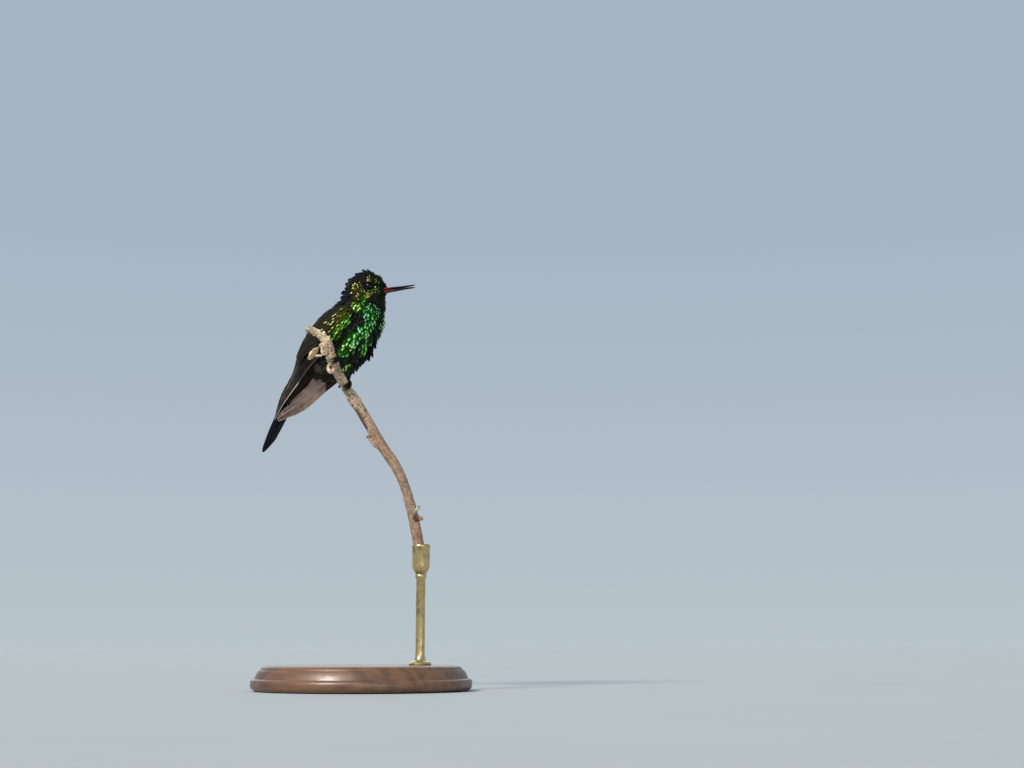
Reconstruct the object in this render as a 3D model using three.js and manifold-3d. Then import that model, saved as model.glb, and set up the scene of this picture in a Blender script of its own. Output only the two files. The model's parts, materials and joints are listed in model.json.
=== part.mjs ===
// A male emerald hummingbird, life size, perched on a cut length of dead twig that a display stand
// carries. Millimetres, +Z up. The bird faces +X with its left side towards +Y, and the origin is the
// centre of the stand's underside.
import * as THREE from "three";
import { mergeVertices } from "three/addons/utils/BufferGeometryUtils.js";
import Module from "manifold-3d";

const wasm = await Module();
wasm.setup();

// ---- driving dimensions -------------------------------------------------------------------------
const GAP = 0.3; // clearance between pieces that touch
const PERCH_HEIGHT = 100; // the left foot's grip above the table
const BIRD_AT = new THREE.Vector3(-4, -4, PERCH_HEIGHT); // the bird's own origin, at that grip

const BODY_SIDES = 24;
const BODY_STEPS = 24;
const HEAD_STEPS = 16;

const EYE_RADIUS = 1.85;
const EYE_AT = new THREE.Vector3(9.3, 3.8, 32.6);

const BILL_ROOT = new THREE.Vector3(12.2, 0, 31.7);
const BILL_LENGTH = 12.8; // from inside the forehead feathers to the tip
const BILL_WIDTH = 2; // at the root
const BILL_DEPTH = 1.02; // one mandible's depth at the root
const BILL_RISE = 0.2; // tip above root
const TIP_OPENING = 0.05; // how far each mandible's tip turns from the other

const WING_ROOT_THICKNESS = 1.5;
const WING_TIP_THICKNESS = 0.7;
const TAIL_ROOT = new THREE.Vector3(-21, 0.8, 6);
const TAIL_TIP = new THREE.Vector3(-38.7, 4.3, -19.3);
const TAIL_WIDTH = 6.2;
const TAIL_THICKNESS = 1;

const TOE_RADIUS = 0.38;
const TARSUS_RADIUS = 0.5;
const KNEE_RADIUS = 1.1;
const HIP_RADIUS = 2.2;
const TOE_SPREAD = 0.75; // between the front toes, along the twig
const TOE_REACH = 115; // degrees of the twig's girth that a front toe covers
const CLAW_REACH = 40; // degrees more that its claw covers
const CLAW_OFFSET = 17; // degrees between the toe's end and its claw

const BASE_RADIUS = 36;
const BASE_HEIGHT = 8;
const ROD_RADIUS = 1.5;
const ROD_SEAT = 5; // depth of the rod's bore in the base
const CUP_RADIUS = 2.9;
const CUP_HEIGHT = 7;

const colours = {
  emerald: [0x2f8f2a, 0.35, 0.6],
  gold: [0x6b6a1c, 0.4, 0.55],
  flank: [0x1c2a10, 0.6, 0.2],
  coverts: [0x4a4a22, 0.5, 0.3],
  primaries: [0x3a322c, 0.6, 0.1],
  tail: [0x14181d, 0.4, 0.3],
  billUpper: [0x2a2226, 0.4, 0],
  billLower: [0x6e3338, 0.4, 0],
  foot: [0x171412, 0.6, 0],
  claw: [0x0c0b0a, 0.3, 0],
  eye: [0x0a0806, 0.08, 0],
  bark: [0x9c7f6b, 0.85, 0],
  walnut: [0x3b2619, 0.45, 0],
  brass: [0x9a8250, 0.3, 1],
};

// ---- geometry helpers ---------------------------------------------------------------------------
const v3 = (x, y, z) => new THREE.Vector3(x, y, z);

// Six times the signed volume inside an indexed geometry, negative when its faces point inwards.
function signedVolume(points, index) {
  let sum = 0;
  for (let i = 0; i < index.length; i += 3) {
    const [a, b, c] = [points[index[i]], points[index[i + 1]], points[index[i + 2]]];
    sum += a.dot(b.clone().cross(c));
  }
  return sum;
}

// A closed geometry from points and triangles, turned so that its faces point outwards.
function closedGeometry(points, index) {
  const outward = signedVolume(points, index) < 0 ? index.slice().reverse() : index;
  return new THREE.BufferGeometry().setFromPoints(points).setIndex(outward);
}

// Rings of equally many points joined into a closed skin, with a pole at each end.
function skinOverRings(rings, startPole, endPole) {
  const sides = rings[0].length;
  const points = [startPole, ...rings.flat(), endPole];
  const end = points.length - 1;
  const at = (ring, k) => 1 + ring * sides + (k % sides);
  const index = [];
  for (let k = 0; k < sides; k++) {
    index.push(0, at(0, k + 1), at(0, k));
    index.push(end, at(rings.length - 1, k), at(rings.length - 1, k + 1));
    for (let r = 0; r < rings.length - 1; r++) {
      index.push(at(r, k), at(r, k + 1), at(r + 1, k));
      index.push(at(r, k + 1), at(r + 1, k + 1), at(r + 1, k));
    }
  }
  return closedGeometry(points, index);
}

// A body lofted along a spine in the bird's middle plane. Each station is
// [x, z, half depth above the spine, half depth below it, half width]; the first and last are the tips.
function loftAlongSpine(stations, steps, grow = 0) {
  const spine = new THREE.CatmullRomCurve3(stations.map(([x, z]) => v3(x, 0, z)));
  const sizes = new THREE.CatmullRomCurve3(stations.map(([, , top, bottom, wide]) => v3(top, bottom, wide)));
  const rings = [];
  for (let i = 1; i < steps; i++) {
    const t = (1 - Math.cos((Math.PI * i) / steps)) / 2;
    const centre = spine.getPoint(t);
    const along = spine.getTangent(t);
    const dorsal = v3(-along.z, 0, along.x);
    const { x: top, y: bottom, z: wide } = sizes.getPoint(t);
    const ring = [];
    for (let k = 0; k < BODY_SIDES; k++) {
      const angle = (2 * Math.PI * k) / BODY_SIDES;
      const depth = (Math.sin(angle) > 0 ? top : bottom) + grow;
      ring.push(
        centre
          .clone()
          .addScaledVector(dorsal, depth * Math.sin(angle))
          .add(v3(0, (wide + grow) * Math.cos(angle), 0)),
      );
    }
    rings.push(ring);
  }
  const tipOut = (t, sign) => spine.getPoint(t).addScaledVector(spine.getTangent(t), sign * grow);
  return skinOverRings(rings, tipOut(0, -1), tipOut(1, 1));
}

// A round bar along a curve, its radius a function of the share of the way along. Its ends are
// blunt cones, and grow widens and lengthens it for the clearance that it needs.
function bar(curve, radiusAt, steps, sides, { blunt = 0.5, grow = 0 } = {}) {
  const frames = curve.computeFrenetFrames(steps);
  const rings = [];
  for (let i = 0; i <= steps; i++) {
    const t = i / steps;
    const radius = radiusAt(t) + grow;
    const centre = curve.getPointAt(t);
    if (i === 0) centre.addScaledVector(frames.tangents[0], -grow);
    if (i === steps) centre.addScaledVector(frames.tangents[steps], grow);
    const ring = [];
    for (let k = 0; k < sides; k++) {
      const angle = (2 * Math.PI * k) / sides;
      ring.push(
        centre
          .clone()
          .addScaledVector(frames.normals[i], radius * Math.cos(angle))
          .addScaledVector(frames.binormals[i], radius * Math.sin(angle)),
      );
    }
    rings.push(ring);
  }
  const poleAt = (t, tangent, sign) =>
    curve.getPointAt(t).addScaledVector(tangent, sign * (blunt * radiusAt(t) + grow));
  return skinOverRings(rings, poleAt(0, frames.tangents[0], -1), poleAt(1, frames.tangents[steps], 1));
}

// A curved blade between two edge curves, arched along its normal and thinned towards its rim.
function blade(leading, trailing, { arch, thickness, steps, across, outward }) {
  const sheet = [];
  const pointAt = (u, v) => {
    const a = leading.getPoint(u);
    const b = trailing.getPoint(u);
    return a.lerp(b, v);
  };
  for (let i = 0; i <= steps; i++) {
    const u = i / steps;
    for (let j = 0; j <= across; j++) {
      const v = j / across;
      const d = 1e-3;
      const du = pointAt(Math.min(u + d, 1), v).sub(pointAt(Math.max(u - d, 0), v));
      const dv = pointAt(u, 1).sub(pointAt(u, 0));
      const normal = du.cross(dv).normalize();
      if (normal.dot(outward) < 0) normal.negate();
      sheet.push([pointAt(u, v).addScaledVector(normal, arch(u) * Math.sin(Math.PI * v)), normal, u, v]);
    }
  }
  const half = (u, v) => thickness(u, v) / 2;
  const outer = sheet.map(([p, n, u, v]) => p.clone().addScaledVector(n, half(u, v)));
  const inner = sheet.map(([p, n, u, v]) => p.clone().addScaledVector(n, -half(u, v)));
  const points = [...outer, ...inner];
  const offset = outer.length;
  const at = (i, j) => i * (across + 1) + j;
  const index = [];
  const quad = (a, b, c, d) => index.push(a, b, c, a, c, d);
  for (let i = 0; i < steps; i++)
    for (let j = 0; j < across; j++) {
      quad(at(i, j), at(i + 1, j), at(i + 1, j + 1), at(i, j + 1));
      quad(offset + at(i, j), offset + at(i, j + 1), offset + at(i + 1, j + 1), offset + at(i + 1, j));
    }
  for (let i = 0; i < steps; i++) {
    quad(at(i, 0), offset + at(i, 0), offset + at(i + 1, 0), at(i + 1, 0));
    quad(at(i, across), at(i + 1, across), offset + at(i + 1, across), offset + at(i, across));
  }
  for (let j = 0; j < across; j++) {
    quad(at(0, j), at(0, j + 1), offset + at(0, j + 1), offset + at(0, j));
    quad(at(steps, j), offset + at(steps, j), offset + at(steps, j + 1), at(steps, j + 1));
  }
  return closedGeometry(points, index);
}

function solidOf(geometry) {
  const bare = new THREE.BufferGeometry().setAttribute("position", geometry.getAttribute("position"));
  if (geometry.index) bare.setIndex(geometry.index);
  const merged = mergeVertices(bare, 1e-4);
  return new wasm.Manifold(
    new wasm.Mesh({
      numProp: 3,
      vertProperties: new Float32Array(merged.attributes.position.array),
      triVerts: new Uint32Array(merged.index.array),
    }),
  );
}

function geometryOf(solid) {
  const { numProp, vertProperties, triVerts } = solid.getMesh();
  const position = new Float32Array((vertProperties.length / numProp) * 3);
  for (let i = 0; i < position.length / 3; i++)
    position.set(vertProperties.subarray(i * numProp, i * numProp + 3), i * 3);
  const geometry = new THREE.BufferGeometry().setAttribute("position", new THREE.BufferAttribute(position, 3));
  return geometry.setIndex(new THREE.BufferAttribute(triVerts, 1));
}

// The largest connected body of a solid, which drops slivers that a cut leaves.
const largest = (solid) => solid.decompose().reduce((a, b) => (a.volume() > b.volume() ? a : b));

// A box that covers everything on the far side of a plane through a point.
function halfSpace(point, normal) {
  const size = 200;
  const turn = new THREE.Quaternion().setFromUnitVectors(v3(0, 0, 1), normal.clone().normalize());
  const box = new THREE.BoxGeometry(size, size, size).translate(0, 0, size / 2).applyQuaternion(turn);
  return solidOf(box.translate(point.x, point.y, point.z));
}

function mesh(name, geometry, finish) {
  const [color, roughness, metalness] = colours[finish];
  const made = new THREE.Mesh(geometry, new THREE.MeshStandardMaterial({ color, roughness, metalness }));
  made.name = name;
  return made;
}

const mirrored = (geometry) => {
  const flipped = geometry.clone().scale(1, -1, 1);
  const index = Array.from(flipped.index.array);
  flipped.setIndex(index.reverse());
  return flipped;
};

// ---- body: one form, later parted at the neck, head and tail coverts ------------------------------
const TRUNK = [
  [-26.2, -4.0, 0.2, 0.2, 0.3],
  [-23.4, 0.8, 1.5, 1.6, 2.4],
  [-19.4, 6.0, 2.9, 3.6, 4.4],
  [-13.4, 9.8, 5.0, 7.2, 7.2],
  [-7.2, 13.0, 7.6, 10.4, 9.4],
  [-2.4, 18.0, 9.0, 10.8, 10.0],
  [1.2, 23.2, 7.4, 10.0, 9.4],
  [3.8, 27.8, 6.2, 8.8, 7.6],
  [5.2, 32.0, 5.6, 7.6, 6.2],
  [6.0, 36.4, 0.5, 0.5, 0.5],
];
const HEAD = [
  [-2.4, 31.8, 0.3, 0.3, 0.3],
  [-0.6, 32.0, 3.4, 4.2, 3.8],
  [2.6, 32.6, 5.8, 6.3, 5.7],
  [6.2, 32.9, 6.7, 6.3, 6.3],
  [9.4, 32.6, 5.2, 4.9, 5.1],
  [11.8, 32.1, 3.1, 3.0, 3.3],
  [13.4, 31.8, 1.6, 1.5, 1.8],
  [14.2, 31.8, 0.2, 0.2, 0.3],
];

function bodySolid(grow = 0) {
  const trunk = solidOf(loftAlongSpine(TRUNK, BODY_STEPS, grow));
  const head = solidOf(loftAlongSpine(HEAD, HEAD_STEPS, grow));
  return trunk.add(head);
}

// ---- perch: a dead twig, hooked at its top, with a swollen node and a hanging flake of old bark ----
// Each station is [x, y, z, radius].
const TWIG = [
  [-5.9, -17.0, 17.3, 1.0],
  [-3.2, -16.7, 16.2, 1.2],
  [-0.9, -16.3, 14.7, 1.1],
  [0.6, -15.5, 12.8, 1.5],
  [0.4, -14.5, 10.4, 2.0],
  [0.4, -13.0, 8.0, 1.35],
  [0.4, -9.4, 4.2, 1.4],
  [0.2, -4.5, 0.6, 1.35],
  [0.9, -1.9, -2.4, 1.75],
  [3.4, 0.7, -7.4, 1.85],
  [6.7, 2.5, -13.6, 1.78],
  [10.3, 4.2, -20.2, 1.75],
  [14.8, 5.6, -27.0, 1.7],
  [17.7, 6.8, -33.6, 1.6],
  [20.3, 8.7, -44.9, 1.75],
  [22.1, 10.5, -57.9, 1.85],
];
const twigCurve = new THREE.CatmullRomCurve3(TWIG.map(([x, y, z]) => v3(x, y, z)));
const twigGirth = new THREE.CatmullRomCurve3(TWIG.map(([, , , radius]) => v3(radius, 0, 0)));
const twigRadius = (u) => twigGirth.getPoint(twigCurve.getUtoTmapping(u)).x;
const twigSolid = (grow = 0) => solidOf(bar(twigCurve, twigRadius, 36, 10, { grow }));

// A flattened drop between two points, for buds, stubs and the bark flake.
function drop(from, to, width, thickness) {
  const length = from.distanceTo(to);
  const shape = new THREE.SphereGeometry(0.5, 8, 6).scale(thickness, width, length);
  const along = to.clone().sub(from).normalize();
  const turn = new THREE.Quaternion().setFromUnitVectors(v3(0, 0, 1), along);
  const middle = from.clone().lerp(to, 0.5);
  return solidOf(shape.applyQuaternion(turn).translate(middle.x, middle.y, middle.z));
}
const growths = [
  drop(v3(-1.6, -15.2, 12.2), v3(-5.9, -15.4, 7.6), 1.0, 2.6), // flake
  drop(v3(-0.4, -14.8, 10.6), v3(-2.4, -15.2, 11.6), 1.5, 1.5), // curl beside the swelling
  drop(v3(0.3, -15.9, 13.6), v3(0.9, -16.3, 15.6), 1.1, 1.1), // upper stub
  drop(v3(-0.6, -11.4, 6.2), v3(-1.0, -11.2, 3.8), 1.8, 1.9), // old leaf ring
  drop(v3(2.0, -1.4, -3.4), v3(3.7, -1.6, -1.8), 1.1, 1.0), // lichen tuft
  drop(v3(6.8, 2.8, -16.2), v3(5.3, 3.2, -18.0), 1.6, 1.6), // bump
  drop(v3(19.4, 8.6, -44.0), v3(23.3, 7.6, -44.8), 1.5, 2.0), // bud
];
const perchSolid = (grow = 0) => growths.reduce((whole, growth) => whole.add(growth), twigSolid(grow));

// ---- feet: three toes over the front of the twig and one behind it ---------------------------------
// Directions at one place on the twig: along it, towards the bird's front, and away from both.
function gripFrame(u) {
  const along = twigCurve.getTangentAt(u);
  const front = v3(1, 0, 0).addScaledVector(along, -along.x).normalize();
  const above = front.clone().cross(along).normalize();
  if (above.z < 0) above.negate();
  return { u, centre: twigCurve.getPointAt(u), along, front, above, radius: twigRadius(u) };
}

// A point beside the twig, at an angle from its front towards its upper side, shifted along it.
function aroundTwig(grip, degrees, distance, shift) {
  const angle = THREE.MathUtils.degToRad(degrees);
  return grip.centre
    .clone()
    .addScaledVector(grip.front, distance * Math.cos(angle))
    .addScaledVector(grip.above, distance * Math.sin(angle))
    .addScaledVector(grip.along, shift);
}

function arcAroundTwig(grip, start, sweep, shifts, clearance) {
  const points = [];
  const steps = 6;
  for (let i = 0; i <= steps; i++) {
    const share = i / steps;
    const shift = THREE.MathUtils.lerp(shifts[0], shifts[1], share);
    const distance = THREE.MathUtils.lerp(clearance[0], clearance[1], share);
    points.push(aroundTwig(grip, start + sweep * share, grip.radius + GAP + distance, shift));
  }
  return new THREE.CatmullRomCurve3(points);
}

// A toe's knuckled radius: it swells three times along its length and thins towards the claw.
const toeRadius = (u) => TOE_RADIUS * (1 - 0.22 * u + 0.12 * Math.cos(6 * Math.PI * u));
const clawRadius = (u) => TOE_RADIUS * (0.85 - 0.65 * u);

function toe(grip, start, sweep, shift) {
  const toeSweep = Math.sign(sweep) * TOE_REACH * Math.abs(sweep);
  const clawSweep = Math.sign(sweep) * CLAW_REACH;
  const lift = TOE_RADIUS * 1.15;
  const flesh = arcAroundTwig(grip, start, toeSweep, [shift * 0.3, shift], [lift + 0.15, lift]);
  const nailStart = start + toeSweep + Math.sign(sweep) * CLAW_OFFSET;
  const nail = arcAroundTwig(grip, nailStart, clawSweep, [shift, shift * 1.1], [lift + 0.05, 0.1]);
  return {
    flesh: solidOf(bar(flesh, toeRadius, 7, 6)),
    claw: bar(nail, clawRadius, 3, 5),
  };
}

function foot(grip) {
  const toes = [-1, 0, 1].map((place) => toe(grip, 85, -1, place * TOE_SPREAD));
  toes.push(toe(grip, 95, 0.8, 0));
  const pad = new THREE.SphereGeometry(0.62, 8, 6);
  const padAt = aroundTwig(grip, 90, grip.radius + GAP + 0.62, 0);
  const flesh = toes.reduce(
    (whole, { flesh }) => whole.add(flesh),
    solidOf(pad.translate(padAt.x, padAt.y, padAt.z)),
  );
  return { flesh, claws: toes.map(({ claw }) => claw), padAt };
}

const GRIPS = {
  left: { foot: foot(gripFrame(0.286)), knee: v3(-1.6, 1.2, 3.4), hip: v3(-3.6, 4.2, 8.6) },
  right: { foot: foot(gripFrame(0.16)), knee: v3(-1.6, -7.6, 8.0), hip: v3(-4.6, -5.4, 10.4) },
};

const tarsus = (grip, grow = 0) => {
  const line = new THREE.LineCurve3(grip.foot.padAt, grip.knee);
  return solidOf(bar(line, (u) => TARSUS_RADIUS * (1 + 0.3 * u), 3, 8, { grow }));
};
const thigh = (grip, grow = 0) => {
  const line = new THREE.LineCurve3(grip.knee, grip.hip);
  return solidOf(bar(line, (u) => THREE.MathUtils.lerp(KNEE_RADIUS, HIP_RADIUS, u), 4, 10, { grow }));
};

// ---- wings: folded and drooping, the left hand crossing under the tail ------------------------------
// Each edge runs from the shoulder to the tip; y here is the distance out from the bird's middle plane.
const WING_LEADING = [v3(6.6, 8.2, 24.4), v3(5.4, 9.4, 21.0), v3(-0.1, 10.6, 13.9), v3(-9.2, 10.6, 6.4)];
const WING_TRAILING = [v3(1.5, 7.2, 26.4), v3(-4.2, 7.0, 25.4), v3(-10.8, 6.2, 21.0), v3(-16.9, 5.0, 14.2)];
const WINGS = {
  right: {
    side: -1,
    leading: [...WING_LEADING, v3(-16.0, 8.8, 0.6), v3(-23.7, 6.0, -5.0), v3(-28.7, 3.7, -9.7)],
    trailing: [...WING_TRAILING, v3(-20.1, 4.2, 6.2), v3(-26.2, 3.0, -1.0), v3(-29.9, 2.0, -8.5)],
  },
  left: {
    side: 1,
    leading: [...WING_LEADING, v3(-16.0, 8.7, 1.0), v3(-23.3, 5.6, -5.8), v3(-29.6, 0.0, -9.6)],
    trailing: [...WING_TRAILING, v3(-19.6, 4.3, 5.9), v3(-25.3, 2.2, -1.9), v3(-30.2, -0.7, -8.2)],
  },
};
const WING_SPLIT = new THREE.Plane().setFromNormalAndCoplanarPoint(v3(-0.86, 0, -0.51), v3(-6.5, 0, 11.5));

// One wing's solid; grow widens it for the clearance it needs from its neighbours.
function wingSolid({ side, leading, trailing }, grow = 0) {
  const thickness = (u) => THREE.MathUtils.lerp(WING_ROOT_THICKNESS, WING_TIP_THICKNESS, u) + 2 * grow;
  const edge = (points) => new THREE.CatmullRomCurve3(points.map(({ x, y, z }) => v3(x, side * y, z)));
  return solidOf(
    blade(edge(leading), edge(trailing), {
      arch: (u) => 1.6 * Math.sin(Math.PI * Math.min(1, 0.2 + u)),
      thickness,
      steps: 18,
      across: 4,
      outward: v3(0, side, 0),
    }),
  );
}

// ---- tail: closed, ten feathers deep, swung a little to the left -----------------------------------
// Each pair is [share of the length, share of the width].
const TAIL_OUTLINE = [
  [0, 0.4],
  [0.3, 0.46],
  [0.6, 0.39],
  [0.8, 0.29],
  [0.93, 0.18],
  [1, 0.06],
];
function tailSolid(grow = 0) {
  const axis = TAIL_TIP.clone().sub(TAIL_ROOT);
  const edge = (side) =>
    new THREE.CatmullRomCurve3(
      TAIL_OUTLINE.map(([along, wide]) =>
        TAIL_ROOT.clone()
          .addScaledVector(axis, along === 0 ? -grow / axis.length() : along)
          .add(v3(0, side * (wide * TAIL_WIDTH + grow), 0)),
      ),
    );
  return solidOf(
    blade(edge(-1), edge(1), {
      arch: () => 0.6,
      thickness: () => TAIL_THICKNESS + 2 * grow,
      steps: 12,
      across: 4,
      outward: v3(-1, 0, 0.5),
    }),
  );
}

// ---- bill: two mandibles, parted a little ----------------------------------------------------------
// The side is +1 for the upper mandible and -1 for the lower: half a cone, flat towards the other.
function mandible(side, grow = 0) {
  const rings = [];
  const steps = 7;
  const arcSteps = 6;
  for (let i = 0; i <= steps; i++) {
    const along = i / steps;
    const taper = 1 - 0.55 * along;
    const forward = BILL_LENGTH * along - (i === 0 ? grow : 0);
    const rise = BILL_RISE * along + side * (GAP / 2 + TIP_OPENING * along ** 3);
    const ring = [];
    for (let k = 0; k <= arcSteps; k++) {
      const angle = (Math.PI * k) / arcSteps;
      const across = (BILL_WIDTH / 2) * taper + grow;
      const deep = BILL_DEPTH * taper + 2 * grow;
      const [y, z] = [across * Math.cos(angle), rise + side * (deep * Math.sin(angle) - grow)];
      ring.push(BILL_ROOT.clone().add(v3(forward, y, z)));
    }
    rings.push(ring);
  }
  const poleOf = (ring, out) =>
    ring
      .reduce((sum, point) => sum.add(point), v3(0, 0, 0))
      .divideScalar(ring.length)
      .add(v3(out, 0, 0));
  return solidOf(skinOverRings(rings, poleOf(rings[0], -grow), poleOf(rings[steps], 0.25 + grow)));
}

// ---- stand: a turned disc, a rod and a cup that takes the twig's cut end ----------------------------
const TWIG_END = twigCurve.getPointAt(1).add(BIRD_AT);
const CUP_FLOOR = TWIG_END.z - 2;

function rodSolid() {
  const bottom = BASE_HEIGHT - ROD_SEAT + GAP;
  const profile = [
    [0, bottom],
    [ROD_RADIUS, bottom],
    [ROD_RADIUS, CUP_FLOOR - 2.5],
    [CUP_RADIUS, CUP_FLOOR - 0.5],
    [CUP_RADIUS, CUP_FLOOR + CUP_HEIGHT],
    [0, CUP_FLOOR + CUP_HEIGHT],
  ].map(([radius, height]) => new THREE.Vector2(radius, height));
  const turned = new THREE.LatheGeometry(profile, 18).rotateX(Math.PI / 2);
  return solidOf(turned.translate(TWIG_END.x, TWIG_END.y, 0));
}

function baseSolid() {
  const edge = 1.2;
  const profile = [
    [0, 0],
    [BASE_RADIUS - edge, 0],
    [BASE_RADIUS, edge],
    [BASE_RADIUS, BASE_HEIGHT * 0.45],
    [BASE_RADIUS - 1.6, BASE_HEIGHT * 0.6],
    [BASE_RADIUS - 2.2, BASE_HEIGHT * 0.85],
    [BASE_RADIUS - 3.6, BASE_HEIGHT],
    [0, BASE_HEIGHT],
  ].map(([radius, height]) => new THREE.Vector2(radius, height));
  const disc = solidOf(new THREE.LatheGeometry(profile, 40).rotateX(Math.PI / 2));
  const bore = new THREE.CylinderGeometry(ROD_RADIUS + GAP, ROD_RADIUS + GAP, 2 * ROD_SEAT, 18);
  bore.rotateX(Math.PI / 2).translate(TWIG_END.x, TWIG_END.y, BASE_HEIGHT);
  return disc.subtract(solidOf(bore));
}

// ---- assembly --------------------------------------------------------------------------------------
const bird = new THREE.Group();
bird.position.copy(BIRD_AT);
const put = (name, solid, finish) => bird.add(mesh(name, geometryOf(largest(solid)), finish));
const putPair = (name, rightSolid, finish) => {
  const right = geometryOf(largest(rightSolid));
  bird.add(mesh(`${name}_right`, right, finish));
  bird.add(mesh(`${name}_left`, mirrored(right), finish));
};

// The whole body is cleared of all that stands in it, then parted by planes across the spine.
const eyeSolid = (side, grow = 0) =>
  solidOf(new THREE.SphereGeometry(EYE_RADIUS + grow, 14, 10).translate(EYE_AT.x, side * EYE_AT.y, EYE_AT.z));
const legs = Object.values(GRIPS);
const clearedBody = [
  perchSolid(GAP),
  eyeSolid(1, GAP),
  eyeSolid(-1, GAP),
  mandible(1, GAP),
  mandible(-1, GAP),
  tailSolid(GAP),
  ...legs.flatMap((leg) => [thigh(leg, GAP), tarsus(leg, GAP)]),
].reduce((body, neighbour) => body.subtract(neighbour), bodySolid());

const partings = [
  { point: v3(-18.2, 0, 7.2), normal: v3(0.66, 0, 0.75) },
  { point: v3(1.9, 0, 25.6), normal: v3(0.3, 0, 0.95) },
  { point: v3(3.2, 0, 29.2), normal: v3(0.1, 0, 0.99) },
];
const aheadOf = ({ point, normal }, shift) =>
  halfSpace(point.clone().addScaledVector(normal.clone().normalize(), shift), normal);
const behind = ({ point, normal }, shift) =>
  halfSpace(point.clone().addScaledVector(normal.clone().normalize(), -shift), normal.clone().negate());
const [rump, nape, chin] = partings;
put("tail_coverts", clearedBody.intersect(behind(rump, GAP / 2)), "flank");
put("trunk", clearedBody.intersect(aheadOf(rump, GAP / 2)).intersect(behind(nape, GAP / 2)), "emerald");
put("neck", clearedBody.intersect(aheadOf(nape, GAP / 2)).intersect(behind(chin, GAP / 2)), "emerald");
put("head", clearedBody.intersect(aheadOf(chin, GAP / 2)), "gold");

putPair("eye", eyeSolid(-1), "eye");
put("bill_upper", mandible(1), "billUpper");
put("bill_lower", mandible(-1), "billLower");
put("tail", tailSolid(), "tail");

// The wings stay clear of the body, the tail and each other.
const split = { point: WING_SPLIT.coplanarPoint(v3(0, 0, 0)), normal: WING_SPLIT.normal };
for (const [name, shape] of Object.entries(WINGS)) {
  const neighbours = [bodySolid(GAP), tailSolid(GAP), ...(name === "left" ? [wingSolid(WINGS.right, GAP)] : [])];
  const wing = neighbours.reduce((solid, neighbour) => solid.subtract(neighbour), wingSolid(shape));
  put(`wing_${name}`, wing.intersect(behind(split, GAP / 2)), "coverts");
  put(`primaries_${name}`, wing.intersect(aheadOf(split, GAP / 2)), "primaries");
}

for (const [side, leg] of Object.entries(GRIPS)) {
  put(`thigh_${side}`, thigh(leg), "flank");
  put(`tarsus_${side}`, tarsus(leg).subtract(thigh(leg, GAP)), "foot");
  put(`foot_${side}`, leg.foot.flesh.subtract(tarsus(leg, GAP)), "foot");
  leg.foot.claws.forEach((claw, i) => bird.add(mesh(`claw_${side}_${i + 1}`, claw, "claw")));
}
put("perch", perchSolid(), "bark");

const stand = new THREE.Group();
const twigInPlace = twigSolid(GAP).translate(BIRD_AT.toArray());
stand.add(mesh("stand_rod", geometryOf(largest(rodSolid().subtract(twigInPlace))), "brass"));
stand.add(mesh("stand_base", geometryOf(baseSolid()), "walnut"));

const group = new THREE.Group();
group.add(bird, stand);
export default group;
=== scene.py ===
"""A male emerald hummingbird on a cut twig, on a turned display stand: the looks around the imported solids.

Lengths in this file are millimetres in the bird's own frame, unless a name says otherwise: +X the way it
faces, +Y its left, +Z up, with the origin at the left foot's grip. place() turns them into scene metres.
"""
import json
import math

import bpy
import numpy as np
from bpy.props import FloatProperty, FloatVectorProperty, IntProperty, PointerProperty
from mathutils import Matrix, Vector
from mathutils.bvhtree import BVHTree
from mathutils.kdtree import KDTree

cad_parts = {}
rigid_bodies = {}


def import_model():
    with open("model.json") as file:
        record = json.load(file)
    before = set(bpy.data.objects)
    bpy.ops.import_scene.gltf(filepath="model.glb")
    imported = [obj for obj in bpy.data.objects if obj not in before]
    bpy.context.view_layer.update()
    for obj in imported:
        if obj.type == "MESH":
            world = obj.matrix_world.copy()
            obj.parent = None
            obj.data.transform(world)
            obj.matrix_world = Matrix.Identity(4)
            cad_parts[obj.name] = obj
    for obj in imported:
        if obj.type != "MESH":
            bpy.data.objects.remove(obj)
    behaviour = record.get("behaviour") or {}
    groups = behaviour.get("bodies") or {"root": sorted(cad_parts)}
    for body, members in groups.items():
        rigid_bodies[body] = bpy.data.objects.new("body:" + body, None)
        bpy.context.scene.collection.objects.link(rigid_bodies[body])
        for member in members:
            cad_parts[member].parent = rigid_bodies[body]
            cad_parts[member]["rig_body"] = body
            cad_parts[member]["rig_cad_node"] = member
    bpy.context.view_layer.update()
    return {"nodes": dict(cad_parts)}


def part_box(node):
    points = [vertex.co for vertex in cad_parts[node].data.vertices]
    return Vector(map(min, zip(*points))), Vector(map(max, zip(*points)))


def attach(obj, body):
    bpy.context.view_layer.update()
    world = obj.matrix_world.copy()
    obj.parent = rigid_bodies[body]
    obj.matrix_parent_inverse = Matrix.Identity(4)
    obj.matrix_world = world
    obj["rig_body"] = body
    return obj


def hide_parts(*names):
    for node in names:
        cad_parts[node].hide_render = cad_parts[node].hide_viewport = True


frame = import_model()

bl_info = {
    "name": "Perched hummingbird",
    "version": (1, 0, 0),
    "blender": (4, 5, 0),
    "location": "View3D > Sidebar > Hummingbird",
    "description": "Builds a life-size emerald hummingbird on a twig and stand",
    "category": "Object",
}

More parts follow.
